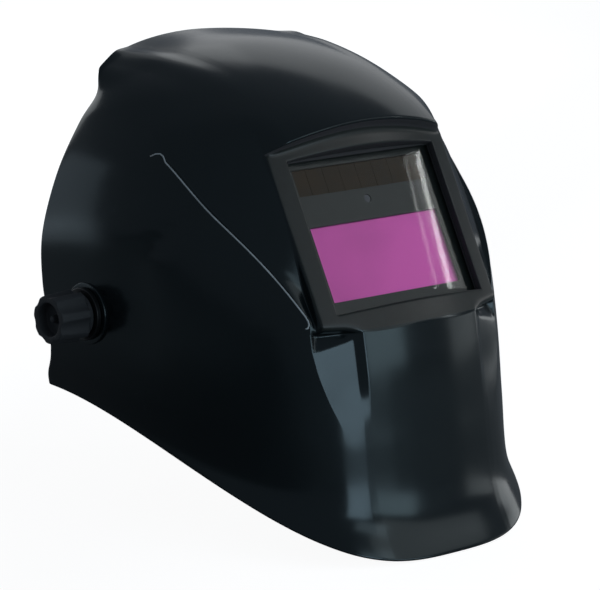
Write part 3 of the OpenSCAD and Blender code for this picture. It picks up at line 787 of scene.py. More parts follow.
@dataclass
class Shell:
    """The flip-up shell: one lofted skin with a raised side panel and a framed window.

    Its sizes are the frame's own driving sizes. The cheeks under the window's corners and the notch
    above each are this skin's own: there it lies up to some 5 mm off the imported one.
    """

    width: float = 226.0
    dome_height: float = 141.0
    chin_drop: float = 116.0
    chin_reach: float = 174.0
    wall: float = 2.4
    panel_lift: float = 2.4
    facet_dip: float = 8.0
    crease_lift: float = 1.5
    window_tilt: float = 28.0
    window_width: float = 105.0
    window_height: float = 86.0
    frame_margin: float = 10.5
    frame_bulge: float = 6.0
    lip_depth: float = 4.0
    top_station: float = 0.35
    low_station: float = 0.63
    cheek_sink: float = 2.0
    cheek_flat: float = 0.9
    notch: float = 3.0
    edge_round: float = 0.8
    crown_rows: int = 37
    brow_rows: int = 3
    side_rows: int = 17
    chin_rows: int = 33
    line_half: float = 0.42
    line_thick: float = 0.14
    line_rise: float = 0.05
    line_top: tuple[tuple[float, float], ...] = (
        (0.923, 0.333), (0.913, 0.3297), (0.904, 0.3305), (0.899, 0.336))
    line_foot: tuple[tuple[float, float], ...] = (
        (0.594, 0.609), (0.593, 0.614), (0.598, 0.6185), (0.608, 0.6195))
    stations: tuple[tuple[float, ...], ...] = (
        (82, 27.5, 124, 47, 141, 1.8, 0.8), (86, 24.5, 114, -13, 139.5, 1.95, 0.9),
        (95, 28, 99.5, -65, 126.8, 2.2, 0.85), (106, 34, 72, -107, 103.5, 2.5, 0.9),
        (112.5, 39.5, 38.5, -128, 70.5, 2.6, 1.0), (113, 39, 10, -141, 31.5, 2.8, 0.9),
        (112.5, 34, -11, -150, -10, 2.8, 1.0), (110, 36.5, -30, -155.5, -51.5, 2.9, 1.2),
        (107, 43, -41.5, -162, -91, 3.0, 1.4), (106, 43.5, -48, -174, -116, 3.1, 1.6))
    columns: dict[Zone, int] = field(default_factory=lambda: {
        Zone.WINDOW: 12, Zone.MARGIN: 4, Zone.FRAME_WALL: 2, Zone.FACET: 10, Zone.PANEL_STEP: 5,
        Zone.PANEL: 20})

    @property
    def scales(self) -> tuple[float, float, float, float]:
        """How far this shell differs from the drawn one across, forwards, up and down."""
        return self.width / 226, self.chin_reach / 174, self.dome_height / 141, self.chin_drop / 116

    @property
    def frame_half(self) -> float:
        """Half the width of the window frame."""
        return self.window_width / 2 + self.frame_margin

    def section(self, v: Array) -> Array:
        """The station at a fraction down the shell, as rows of seven numbers."""
        knots = np.array(self.stations, float)
        knots = np.vstack([2 * knots[0] - knots[1], knots, 2 * knots[-1] - knots[-2]])
        t = np.asarray(v, float) * (len(self.stations) - 1)
        i = np.clip(np.floor(t).astype(int), 0, len(self.stations) - 2)
        f = (t - i)[..., None]
        a, b, c, d = knots[i], knots[i + 1], knots[i + 2], knots[i + 3]
        bend, twist = 2 * a - 5 * b + 4 * c - d, 3 * b - a - 3 * c + d
        return 0.5 * (2 * b + (c - a) * f + bend * f ** 2 + twist * f ** 3)

    def loft(self, q: Array, v: Array) -> Array:
        """A point of the plain skin, q the fraction across and v the fraction down."""
        across, ahead, up, down = self.scales
        s = self.section(v)
        n = s[..., 5]
        c = np.maximum(0.0, 1.0 - np.abs(q) ** n) ** (1.0 / n)
        y = s[..., 1] + (s[..., 3] - s[..., 1]) * c ** np.where(s[..., 3] > s[..., 1], 2.2, 1.0)
        z = s[..., 2] + (s[..., 4] - s[..., 2]) * c ** s[..., 6]
        y, z = np.where(y < 0, y * ahead, y), np.where(z > 0, z * up, z * down)
        return np.stack([s[..., 0] * q * across, y, z], -1)

    @staticmethod
    def panel_edge(v: Array) -> Array:
        """The fraction across at which the raised side panel ends."""
        t = (v - 0.33) / 0.28
        slope = 0.91 - 0.21 * t - 0.11 * t * t
        return np.where(v < 0.33, 0.91, np.where(v < 0.61, slope, mix(0.59, 0.80, soft(0.61, 1.0, v))))

    def frame_edge(self, v: Array) -> Array:
        """The fraction across at which the window frame's side wall stands."""
        return np.minimum(0.8, self.frame_half / (self.section(v)[..., 0] * self.scales[0]))

    def facet(self, v: Array, f: Array) -> Array:
        """How deep the side facet lies, f running from the panel's edge to the frame."""
        fade = soft(0.28, 0.37, v) * (1 - 0.8 * soft(0.55, 0.63, v)) * (1 - soft(0.60, 0.66, v))
        return fade * mix(self.panel_lift, self.facet_dip, f)

    def lift(self, q: Array, v: Array) -> Array:
        """How far the soft creases stand out of the plain skin."""
        across = np.abs(q)
        dome = self.crease_lift * hump(across, 0.80 - 0.9 * v, 0.15) * (1 - soft(0.08, 0.27, v))
        groove = 1.2 * hump(across, 0.965 - 0.28 * (1 - soft(0.33, 0.52, v)), 0.03)
        groove = groove * soft(0.01, 0.06, np.abs(across - self.panel_edge(v)))
        return dome - groove * soft(0.31, 0.37, v) * (1 - soft(0.62, 0.74, v)) - self.cheek_depth(across, v)

    @staticmethod
    def cheek_edge(v: Array) -> Array:
        """The fraction across of the crease that parts the flat cheek from the side."""
        return np.interp(v, (0.63, 0.654, 0.686, 0.712, 0.737, 0.762, 0.80, 1.0),
                         (0.593, 0.595, 0.583, 0.565, 0.542, 0.512, 0.508, 0.570))

    def cheek_top(self, across: Array) -> Array:
        """The fraction down at which the cheek's top edge lies, below the frame's corner."""
        return self.low_station + mix(0.008, 0.024, np.clip((across - 0.41) / 0.185, 0.0, 1.0))

    def cheek_depth(self, across: Array, v: Array) -> Array:
        """How far the flat cheek and the notch above it lie under the plain skin."""
        rib, near, far = 0.363, 0.41, self.cheek_edge(v)
        t = np.clip((across - near) / (far - near), 0.0, 1.0)
        ramp = np.clip((across - rib) / (near - rib), 0.0, 1.0)
        sunk = self.cheek_sink * ramp * (1 - t) * (1 - soft(0.69, 0.765, v))
        flat = self.cheek_flat * 4 * t * (1 - t) * (1 - soft(0.70, 0.80, v))
        top = self.cheek_top(across)
        above = np.clip((top - v) / (top - self.low_station), 0.0, 1.0)
        notch = self.notch * above * np.clip((across - 0.39) / 0.06, 0.0, 1.0)
        notch = notch * (1 - soft(0.578, 0.592, across))
        return np.where(v < self.low_station - 1e-6, 0.0, sunk + flat + notch)

    def normal(self, q: Array, v: Array) -> Array:
        """The outward direction of the plain skin."""
        d = 0.006
        a, b = np.minimum(0.97, q), np.clip(v, 0.01, 0.99)
        down = self.loft(a, b + d) - self.loft(a, b - d)
        return unit(np.cross(down, self.loft(a + d, b) - self.loft(a - d, b)))

    def skin(self, q: Array, v: Array, dip: Array, f: Array) -> Array:
        """A point of the finished skin, let in by dip along a direction that turns with f."""
        tilt = math.radians(self.window_tilt)
        n = self.normal(q, v)
        inward = unit(mix(-n, np.array([0.0, math.cos(tilt), -math.sin(tilt)]), np.asarray(f)[..., None]))
        return self.loft(q, v) + n * self.lift(q, v)[..., None] + np.asarray(dip)[..., None] * inward

    def window_origin(self) -> tuple[float, float]:
        """y and z of the middle of the window's plane."""
        return -115.9 * self.scales[1], 51.0 * self.scales[2]

    def from_window(self, p: Array) -> Array:
        """Points given as across, up the frame and outwards, in the frame's own axes."""
        s, c = math.sin(math.radians(self.window_tilt)), math.cos(math.radians(self.window_tilt))
        y, z = self.window_origin()
        return np.stack([p[..., 0], y + p[..., 1] * s - p[..., 2] * c, z + p[..., 1] * c + p[..., 2] * s], -1)

    def to_window(self, p: Array) -> Array:
        """The reverse of from_window."""
        s, c = math.sin(math.radians(self.window_tilt)), math.cos(math.radians(self.window_tilt))
        y, z = p[..., 1] - self.window_origin()[0], p[..., 2] - self.window_origin()[1]
        return np.stack([p[..., 0], y * s + z * c, z * s - y * c], -1)

    def bezel(self, x: Array) -> Array:
        """How far the frame bulges forwards at a distance from its middle."""
        return self.frame_bulge * (1 - (2 * x / self.window_width) ** 2)

    def brow_station(self, x: Array) -> Array:
        """The fraction down at which the brow overhangs the frame."""
        return self.top_station - 0.03 * np.maximum(0.0, 1 - (x / self.frame_half) ** 2)

    @staticmethod
    def round_share(a: Array, b: Array, f: float, n: Array) -> Array:
        """The fraction across at a share f of the way round a section from a to b."""
        ta = np.arctan2(a, (1 - a ** n) ** (1 / n))
        tb = np.where(b >= 1, math.pi / 2, np.arctan2(b, np.maximum(0, 1 - np.minimum(b, 1) ** n) ** (1 / n)))
        t = mix(ta, tb, f)
        return np.minimum(1.0, np.sin(t) / (np.sin(t) ** n + np.maximum(0, np.cos(t)) ** n) ** (1 / n))

    def column_q(self, zone: Zone, f: float, v: Array) -> Array:
        """The fraction across of a grid column at fractions v down the shell."""
        s = self.section(v)
        half = s[..., 0] * self.scales[0]
        fe = self.frame_edge(v)
        pe = np.where(v < 0.64, np.maximum(self.panel_edge(v), fe + 0.03), self.cheek_edge(v))
        inner = fe * self.window_width / 2 / self.frame_half
        fe = np.minimum(fe, pe - 0.022)
        inner = np.minimum(inner, fe - 0.012)
        if zone is Zone.WINDOW:
            return f * np.minimum(self.window_width / 2 / half, inner)
        if zone is Zone.MARGIN:
            return mix(inner, fe, f)
        if zone is Zone.FRAME_WALL:
            return fe + 0.8 * f / half
        if zone is Zone.FACET:
            return self.round_share(fe + 0.8 / half, pe - 0.008, f, s[..., 5])
        if zone is Zone.PANEL_STEP:
            return pe - 0.008 * (1 - f)
        return self.round_share(pe, np.ones_like(pe), f, s[..., 5])

    def skin_at(self, zone: Zone, f: float, v: Array) -> Array:
        """The finished skin's points down one grid column."""
        q = self.column_q(zone, f, v)
        if zone in (Zone.WINDOW, Zone.PANEL):
            return self.skin(q, v, np.zeros_like(v), np.zeros_like(v))
        if zone is Zone.MARGIN:
            return self.skin(q, v, self.facet(v, 1.0) * f * f, np.ones_like(v))
        if zone is Zone.FRAME_WALL:
            return self.skin(q, v, self.facet(v, 1.0), np.ones_like(v))
        if zone is Zone.FACET:
            return self.skin(q, v, self.facet(v, 1 - f), np.full_like(v, 1 - f))
        fall = 1 - float(soft(0.0, 1.0, np.array(f)))
        return self.skin(q, v, self.facet(v, 0.0) * fall, np.zeros_like(v))

    def half_columns(self) -> list[tuple[Zone, float]]:
        """Zone and share of each column from the middle to the rear edge."""
        made = [(Zone.WINDOW, 0.0)]
        for zone, count in self.columns.items():
            shares = [(k + 1) / count for k in range(count)]
            if zone is Zone.WINDOW:
                shares = [1 - (1 - f) ** 1.15 for f in shares]
                near_edge = 1 - self.edge_round / (self.window_width / 2)
                shares = sorted([*shares, near_edge, 0.774, 0.784, 0.865, 0.89])
            elif zone is Zone.FACET:
                shares = [f for f in shares if f < 0.999] + [0.985, 1.0]
                shares.insert(0, 0.03)
            elif zone is Zone.MARGIN:
                shares = [self.edge_round / self.frame_margin] + shares[:-1] + [0.93, 1.0]
            elif zone is Zone.PANEL:
                shares = [0.006, 0.02] + shares[:-1] + [0.99, 1.0]
            made.extend((zone, f) for f in shares)
        return made

    def column(self, zone: Zone, f: float) -> Array:
        """Every outer point of one column, top to bottom."""
        framed = zone in (Zone.WINDOW, Zone.MARGIN)
        head = np.array([self.top_station])
        brow = self.top_station
        if framed:
            brow = float(self.brow_station(self.loft(self.column_q(zone, f, head), head)[0, 0]))
        crown = np.array([0.0, 0.003, *np.linspace(0.02, 1.0, self.crown_rows - 3)[:-1], 0.99, 1.0]) * brow
        parts = [self.skin_at(zone, f, crown)]
        if framed:
            half = self.window_width / 2
            x = f * half if zone is Zone.WINDOW else mix(half, self.frame_half, f)
            high = self.to_window(self.skin_at(zone, f, self.brow_station(np.array([x]))))[0, 1]
            low = self.to_window(self.skin_at(zone, f, np.array([self.low_station])))[0, 1]
            top = self.window_height / 2 + 1.6 * max(0.0, 1 - (x / half) ** 2)
            foot = -self.window_height / 2
            between = np.linspace(0.06, 0.94, self.side_rows - 4)
            sides = mix(top, foot, np.array([0.0, 0.009, *between, 0.991, 1.0]))
            above = [high - 0.8, mix(high, top, 0.5), top + self.edge_round]
            below = [foot - self.edge_round, mix(foot, low, 0.5), low + 0.4]
            heights = np.array([*above, *sides, *below])
            depth = np.full_like(heights, float(self.bezel(np.array(x))))
            parts.append(self.from_window(np.stack([np.full_like(heights, x), heights, depth], -1)))
        else:
            down = self.top_station + np.array([0.004, 0.008, 0.012])
            side = np.linspace(self.top_station + 0.016, self.low_station - 0.020, self.side_rows)
            last = self.low_station - np.array([0.015, 0.010, 0.004])
            parts.append(self.skin_at(zone, f, np.concatenate([down, side, last])))
        top = float(self.cheek_top(self.column_q(zone, f, np.array([self.low_station])))[0])
        near = [self.low_station, self.low_station + 0.0009, top - 0.0012, top + 0.0012]
        below = mix(top, 1.0, np.array([*np.linspace(0.03, 1.0, self.chin_rows - 1)[:-1], 0.99, 1.0]))
        parts.append(self.skin_at(zone, f, np.array([*near, *below])))
        return np.vstack(parts)

    def inner(self, outer: Array) -> Array:
        """The inside of the wall: the outer grid let in by the wall and smoothed over its steps."""
        rows, cols = outer.shape[:2]
        down, across = np.gradient(outer, axis=0), np.gradient(outer, axis=1)
        normal = unit(np.cross(down, across))
        for _ in range(6):
            padded = np.pad(normal, ((1, 1), (1, 1), (0, 0)), "edge")
            beside = padded[:-2, 1:-1] + padded[2:, 1:-1] + padded[1:-1, :-2] + padded[1:-1, 2:]
            normal = unit(beside + normal)
        i, j = np.meshgrid(np.arange(rows), np.arange(cols), indexing="ij")
        rim = np.minimum(1.0, np.minimum(np.minimum(i, rows - 1 - i), np.minimum(j, cols - 1 - j)) / 6)
        return outer - normal * (self.wall * mix(0.6, 1.0, rim))[..., None]

    def build(self) -> None:
        """Makes the skin and the pale line along each side panel, partly a printed stripe and partly a
        painted highlight of the panel's edge.
        """
        half = self.half_columns()
        right = [self.column(zone, f) for zone, f in half]
        outer = np.stack([c * np.array([-1.0, 1.0, 1.0]) for c in right[:0:-1]] + right, axis=1)
        inside = self.inner(outer)
        rows, cols = outer.shape[:2]
        shift = rows * cols
        middle = len(half) - 1
        reach = next(k for k, (zone, f) in enumerate(half) if zone is Zone.WINDOW and f == 1.0)
        top = self.crown_rows + self.brow_rows
        foot = top + self.side_rows - 1
        left, far = middle - reach, middle + reach
        in_window = np.zeros((rows, cols), bool)
        in_window[top:foot + 1, left:far + 1] = True
        lip = self.to_window(outer)
        lip[..., 2] = -self.lip_depth
        inside[in_window] = self.from_window(lip)[in_window]
        points = [*outer.reshape(-1, 3), *inside.reshape(-1, 3)]
        faces = []
        for a, b, c, d in grid_faces(rows, cols):
            i, j = divmod(a, cols)
            if not (top <= i < foot and left <= j < far):
                faces.append([a, d, c, b])
                faces.append([a + shift, b + shift, c + shift, d + shift])
        window = grid_border(cols, top, left, foot, far)
        self.close_rim(points, faces, grid_border(cols, 0, 0, rows - 1, cols - 1), shift, 0.28 * self.wall)
        tray = range(len(points), len(points) + 2 * len(window))
        self.close_rim(points, faces, window[::-1], shift, 0.0)
        used = sorted({v for f in faces for v in f})
        number = {v: k for k, v in enumerate(used)}
        skin = mesh_object("shell_skin", np.array([points[v] for v in used]),
                           [[number[v] for v in f] for f in faces])
        dress(skin, Look.SHELL, "mask", "shell")
        skin.data.materials.append(Look.FRAME.material())
        skin.data.materials.append(Look.HOLDER_AND_SHADE.material())
        margin = max(k for k, (zone, _) in enumerate(half) if zone is Zone.MARGIN)
        span = range(middle - margin, middle + margin + 1)
        face = {i * cols + j for i in range(top - 3, foot + 4) for j in span}
        # The brow's step faces over the frame: painted shade, dark holder plastic where the shadow under the
        # brow falls.
        overhang = {i * cols + j for i in (top - 4, top - 3) for j in span}
        # The window's lip and recess walls also take the holder's dark plastic.
        recess = {v + shift for v in np.flatnonzero(in_window)} | set(tray)
        for polygon in skin.data.polygons:
            corners = {used[v] for v in polygon.vertices}
            if corners <= overhang:
                polygon.material_index = 2
            elif corners <= face:
                polygon.material_index = 1
            elif corners <= face | recess:
                polygon.material_index = 2
        smooth = skin.modifiers.new("smooth", "SUBSURF")
        smooth.levels = smooth.render_levels = 1
        self.stripe_and_highlight(1)
        self.stripe_and_highlight(-1)

    def stripe_and_highlight(self, side: int) -> bpy.types.Object:
        """The fine pale line along the raised panel's edge, with a short hook at each end: partly a printed
        stripe, partly a painted highlight for the light that edge catches.
        """
        v = np.linspace(0.338, 0.606, 60)[2:-1]
        q, v = np.array([*self.line_top, *zip(self.panel_edge(v), v), *self.line_foot]).T
        out = self.normal(q, v)
        path = self.skin(q, v, np.zeros_like(v), np.zeros_like(v)) + out * self.line_rise
        over = unit(np.cross(unit(np.gradient(path, axis=0)), out))
        sides = 8
        ring = [(math.cos(t), math.sin(t)) for t in np.arange(sides) * 2 * math.pi / sides]
        points = np.stack(
            [path + over * (self.line_half * c) + out * (self.line_thick * s) for c, s in ring], 1)
        points = points.reshape(-1, 3) * np.array([side, 1.0, 1.0])
        faces = grid_faces(len(v), sides, loop_cols=True)
        faces += [list(range(sides)), list(range(len(points) - sides, len(points)))]
        made = mesh_object(f"panel_stripe_highlight_{'l' if side > 0 else 'r'}", points, faces)
        return dress(made, Look.LINE, "mask")

    @staticmethod
    def close_rim(points: list[Array], faces: list[list[int]], ring: Sequence[int], shift: int,
                  swell: float) -> None:
        """Joins the outer and inner skins along a closed ring of outer points.

        Args:
            points: the mesh's points, which gain the ring's middle rows.
            faces: the mesh's faces, which gain the rim.
            ring: outer point numbers in order; an inner point's number is shift more.
            shift: the number of outer points.
            swell: how far the middle of the rim stands out, in millimetres.
        """
        middle = np.mean([points[v] for v in ring], axis=0)
        rows = [list(ring)]
        for share in (0.22, 0.78):
            row = []
            for k, v in enumerate(ring):
                out, inn = points[v], points[v + shift]
                along = unit(points[ring[(k + 1) % len(ring)]] - points[ring[k - 1]])
                away = np.cross(along, unit(out - inn))
                away = away if np.dot(away, out - middle) > 0 else -away
                points.append(mix(out, inn, share) + away * swell)
                row.append(len(points) - 1)
            rows.append(row)
        rows.append([v + shift for v in ring])
        count = len(ring)
        for upper, lower in zip(rows, rows[1:]):
            for k in range(count):
                n = (k + 1) % count
                faces.append([upper[k], upper[n], lower[n], lower[k]])


# ---------------------------------------------------------------- window


@dataclass
class Window:
    """What stands behind the window: holder, cartridge, lenses, latches and screws.

    Across, up the frame and outwards are the window's own axes, as the shell gives them.
    """

    shell: Shell
    lens: tuple[float, float] = (110.7, 90.7)
    lens_depths: tuple[float, float] = (5.4, 6.4)
    lens_bow: float = 1.6
    lens_held: tuple[float, float] = (51.0, 44.5)
    screws_at: tuple[float, float] = (40.0, 51.4)
    screw_depths: tuple[float, float, float] = (2.9, 9.05, 11.0)
    screw_radii: tuple[float, float] = (1.48, 2.9)
    cells: tuple[float, float, int] = (94.0, 17.0, 8)
    cell_gap: float = 0.22
    cells_up: float = 32.0
    cell_depths: tuple[float, float] = (8.45, 9.5)

    def into_place(self, piece: bpy.types.Object) -> bpy.types.Object:
        """Moves a mesh made in the window's own axes, in metres, to where it belongs."""
        corners = self.shell.from_window(np.array([[0, 0, 0], [1, 0, 0], [0, 1, 0], [0, 0, 1]], float))
        move = np.identity(4)
        move[:3, :3] = (corners[1:] - corners[0]).T
        move[:3, 3] = corners[0] * MM
        piece.data.transform(Matrix(move.tolist()))
        return piece

    def pane(self) -> bpy.types.Object:
        """The cover lens: a thin sheet that bows a little between its held edges."""
        across = np.linspace(-0.5, 0.5, 57) * self.lens[0]
        up = np.linspace(-0.5, 0.5, 73) * self.lens[1]
        h, x = np.meshgrid(up, across, indexing="ij")
        held = np.maximum(0, 1 - (np.abs(h) / self.lens_held[1]) ** 24)
        bow = self.lens_bow * np.maximum(0, 1 - (x / self.lens_held[0]) ** 2) * held
        front = np.stack([x, h, bow - self.lens_depths[0]], -1).reshape(-1, 3)
        back = np.stack([x, h, bow - self.lens_depths[1]], -1).reshape(-1, 3)
        rows, cols = x.shape
        shift = rows * cols
        faces = grid_faces(rows, cols)
        faces += [[v + shift for v in f[::-1]] for f in grid_faces(rows, cols)]
        ring = grid_border(cols, 0, 0, rows - 1, cols - 1)
        faces += [[b, a, a + shift, b + shift] for a, b in zip(ring, ring[1:] + ring[:1])]
        pane = mesh_object("cover_pane", self.shell.from_window(np.vstack([front, back])), faces)
        pane.data.set_sharp_from_angle(angle=math.radians(40))
        return dress(pane, Look.PANE, "mask", "cover_lens")

    def screws(self) -> bpy.types.Object:
        """Four pan-head screws with a cross recess, on a grid of two by two."""
        tree = GeoTree("pan_head_screws", Shaft="Float", Head="Float", Front="Float", Seat="Float",
                       Back="Float", Across="Float", Up="Float")
        shaft, head = tree.size("Shaft"), tree.size("Head")
        front, seat, back = tree.size("Front"), tree.size("Seat"), tree.size("Back")
        thick = back - seat
        stem = tree.solid("Cylinder", {"Vertices": 24, "Radius": shaft, "Depth": seat - front})
        stem = tree.moved(stem, tree.vector(0.0, 0.0, (seat + front) * -0.5))
        flat = tree.solid("Cylinder", {"Vertices": 32, "Radius": head, "Depth": thick * 0.55})
        flat = tree.moved(flat, tree.vector(0.0, 0.0, (seat + thick * 0.275) * -1.0))
        dome = tree.solid("Cone", {"Vertices": 32, "Side Segments": 1, "Radius Top": head,
                                   "Radius Bottom": head * 0.72, "Depth": thick * 0.45})
        dome = tree.moved(dome, tree.vector(0.0, 0.0, back * -1.0))
        slots = [tree.moved(tree.solid("Cube", {"Size": tree.vector(*wide, thick)}),
                            tree.vector(0.0, 0.0, (back + thick * 0.1) * -1.0))
                 for wide in ((head * 1.16, head * 0.24), (head * 0.24, head * 1.16))]
        screw = tree.joined(stem, tree.cut(tree.joined(flat, dome), *slots))
        spots = tree.corners(tree.size("Across"), tree.size("Up"))
        sizes = zip(("Shaft", "Head", "Front", "Seat", "Back", "Across", "Up"),
                    (*self.screw_radii, *self.screw_depths, *self.screws_at))
        made = tree.piece("holder_screws", Look.STEEL, tree.copies(spots, screw),
                          **{label: size * MM for label, size in sizes})
        nodes = [f"holder_screw_{k}" for k in range(1, 5)]
        return dress(self.into_place(made), Look.STEEL, "mask", *nodes)

    def solar_cells(self) -> bpy.types.Object:
        """A row of thin cells on a backing strip."""
        width, height, count = self.cells
        tree = GeoTree("cell_row", Pitch="Float", High="Float", Thick="Float", Gap="Float", Count="Int")
        pitch, high, thick, cells = (tree.size(label) for label in ("Pitch", "High", "Thick", "Count"))
        cell = tree.solid("Cube", {"Size": tree.vector(pitch - tree.size("Gap"), high, thick * 0.4)})
        first = tree.vector(pitch * (cells - 1.0) * -0.5, 0.0, thick * 0.3)
        line = tree.solid("Line", {
            "Count": cells, "Start Location": first, "Offset": tree.vector(pitch, 0.0, 0.0)})
        back = tree.solid("Cube", {"Size": tree.vector(pitch * cells, high, thick * 0.55)})
        back = tree.moved(back, tree.vector(0.0, 0.0, thick * -0.2))
        made = tree.piece("cell_strip", Look.CELLS, tree.joined(tree.copies(line, cell), back),
                          Pitch=width / count * MM, High=height * MM, Gap=self.cell_gap * MM, Count=count,
                          Thick=(self.cell_depths[1] - self.cell_depths[0]) * MM)
        middle = -sum(self.cell_depths) / 2 * MM
        made.data.transform(Matrix.Translation((0.0, self.cells_up * MM, middle)))
        return dress(self.into_place(made), Look.CELLS, "mask", "solar_cell")

    def build(self) -> None:
        """Makes every piece of the window."""
        self.pane()
        self.screws()
        self.solar_cells()
        for node, look, bevel in (
                ("filter_holder", Look.HOLDER_AND_SHADE, 0.5), ("case_front", Look.CARTRIDGE, 0.45),
                ("case_back", Look.CARTRIDGE, 0.6), ("filter_glass", Look.FILTER, 0.1),
                ("lcd_stack", Look.LCD, 0.1), ("arc_sensor", Look.SENSOR, 0.3),
                ("circuit_board", Look.BOARD, 0.08), ("battery", Look.STEEL, 0.4),
                ("inner_lens", Look.PANE, 0.0), ("shade_slider", Look.SLIDER, 0.3),
                ("latch_l", Look.HOLDER_AND_SHADE, 0.35), ("latch_r", Look.HOLDER_AND_SHADE, 0.35)):
            refined(node, look, bevel)


# ---------------------------------------------------------------- pivots


@dataclass
class Pivots:
    """The stack on each side of the helmet, from the headgear's arm out to the tension knob."""

    bolt_radius: float = 4.06
    boss: tuple[float, float, float] = (107.0, 113.4, 17.0)
    knob_in: float = 116.8
    knob_length: float = 22.0
    knob_radius: float = 14.0
    flutes: int = 7
    flute_at: float = 1.25
    flute_radius: float = 0.41
    flute_blend: float = 0.9
    dish_radius: float = 9.2
    dish_depth: float = 6.0
    nut_pocket: tuple[float, float] = (4.9, 11.1)
    nut_reach: float = 8.2

    @staticmethod
    def on_side(points: Array, side: int) -> Array:
        """Turns points made about the z axis so that they lie along x on one side."""
        return np.c_[side * points[:, 2], points[:, 0], points[:, 1]]

    def fluted(self, angles: Array, radius: float, height: float) -> Array:
        """Radii of a ring of the knob, with the grip's flutes let in above its collar."""
        if radius < self.dish_radius + 2.0 or height < self.knob_in + 2.9:
            return np.full_like(angles, radius)
        step = 2 * math.pi / self.flutes
        off = (angles - math.pi / 2 + step / 2) % step - step / 2
        far, tool = self.flute_at * self.knob_radius, self.flute_radius * self.knob_radius
        inside = np.maximum(tool ** 2 - (far * np.sin(off)) ** 2, 0.0)
        beyond = np.maximum(0, np.abs(off) - math.asin(tool / far))
        groove = far * np.cos(off) - np.sqrt(inside) + 40.0 * beyond
        share = np.clip(0.5 + 0.5 * (groove - radius) / self.flute_blend, 0, 1)
        return mix(groove, np.full_like(groove, radius), share) - self.flute_blend * share * (1 - share)

    def knob(self, side: int, suffix: str) -> bpy.types.Object:
        """A tension knob: a fluted grip with a round dish in its end and a small moulded boss."""
        a, b, r = self.knob_in, self.knob_in + self.knob_length, self.knob_radius
        bore = self.bolt_radius
        (low, high), pocket = self.nut_pocket, self.nut_reach
        inner = [(0.0, a + 13), (bore, a + 13), (bore, a + high), (pocket, a + high), (pocket, a + low),
                 (bore, a + low), (bore, a + 0.6)]
        dish, deep = self.dish_radius, b - self.dish_depth
        outer = rounded([(bore, a + 0.6), (bore + 0.6, a), (r - 2, a), (r - 2, a + 3), (r + 0.4, a + 3),
                         (r + 0.35, a + 5), (r - 0.55, b - 4), (r - 0.8, b), (dish, b), (dish - 0.4, deep),
                         (3.0, deep), (2.2, deep + 0.6), (1.9, deep + 3.4), (0.6, b - 2.2)], 1.0, 4)
        points, faces = lathe([*inner, *outer[1:], (0.0, b - 2.1)], 24 * self.flutes, self.fluted)
        made = mesh_object(f"tension_knob_{suffix}_piece", self.on_side(points, side), faces)
        made.data.set_sharp_from_angle(angle=math.radians(50))
        return dress(made, Look.KNOB, f"knob_{suffix}", f"tension_knob_{suffix}")

    def shell_boss(self, side: int, suffix: str) -> bpy.types.Object:
        """The round boss through the shell's wall that the bolt turns in."""
        low, high, radius = self.boss
        bore = self.bolt_radius
        ring = rounded([(bore, low + 1), (bore, high - 0.4), (bore + 0.4, high), (radius - 0.2, high),
                        (radius, high - 0.6), (radius, low), (bore + 0.5, low), (bore, low + 1)], 0.5, 3)
        points, faces = lathe(ring, 96)
        made = mesh_object(f"shell_boss_{suffix}", self.on_side(points, side), faces)
        made.data.set_sharp_from_angle(angle=math.radians(50))
        return dress(made, Look.SHELL, "mask")

    def build(self) -> None:
        """Makes both stacks."""
        for side, suffix in ((1, "l"), (-1, "r")):
            self.knob(side, suffix)
            self.shell_boss(side, suffix)
            for name, look, bevel in (
                    ("knob_nut", Look.BRASS, 0.3), ("outer_washer", Look.WASHER, 0.5),
                    ("inner_washer", Look.PALE_WASHER, 0.4), ("pivot_bolt", Look.STEEL, 0.3),
                    ("pivot_block", Look.ARM, 0.5), ("tilt_stop", Look.BAND, 0.4)):
                refined(f"{name}_{suffix}", look, bevel)


# ---------------------------------------------------------------- headgear


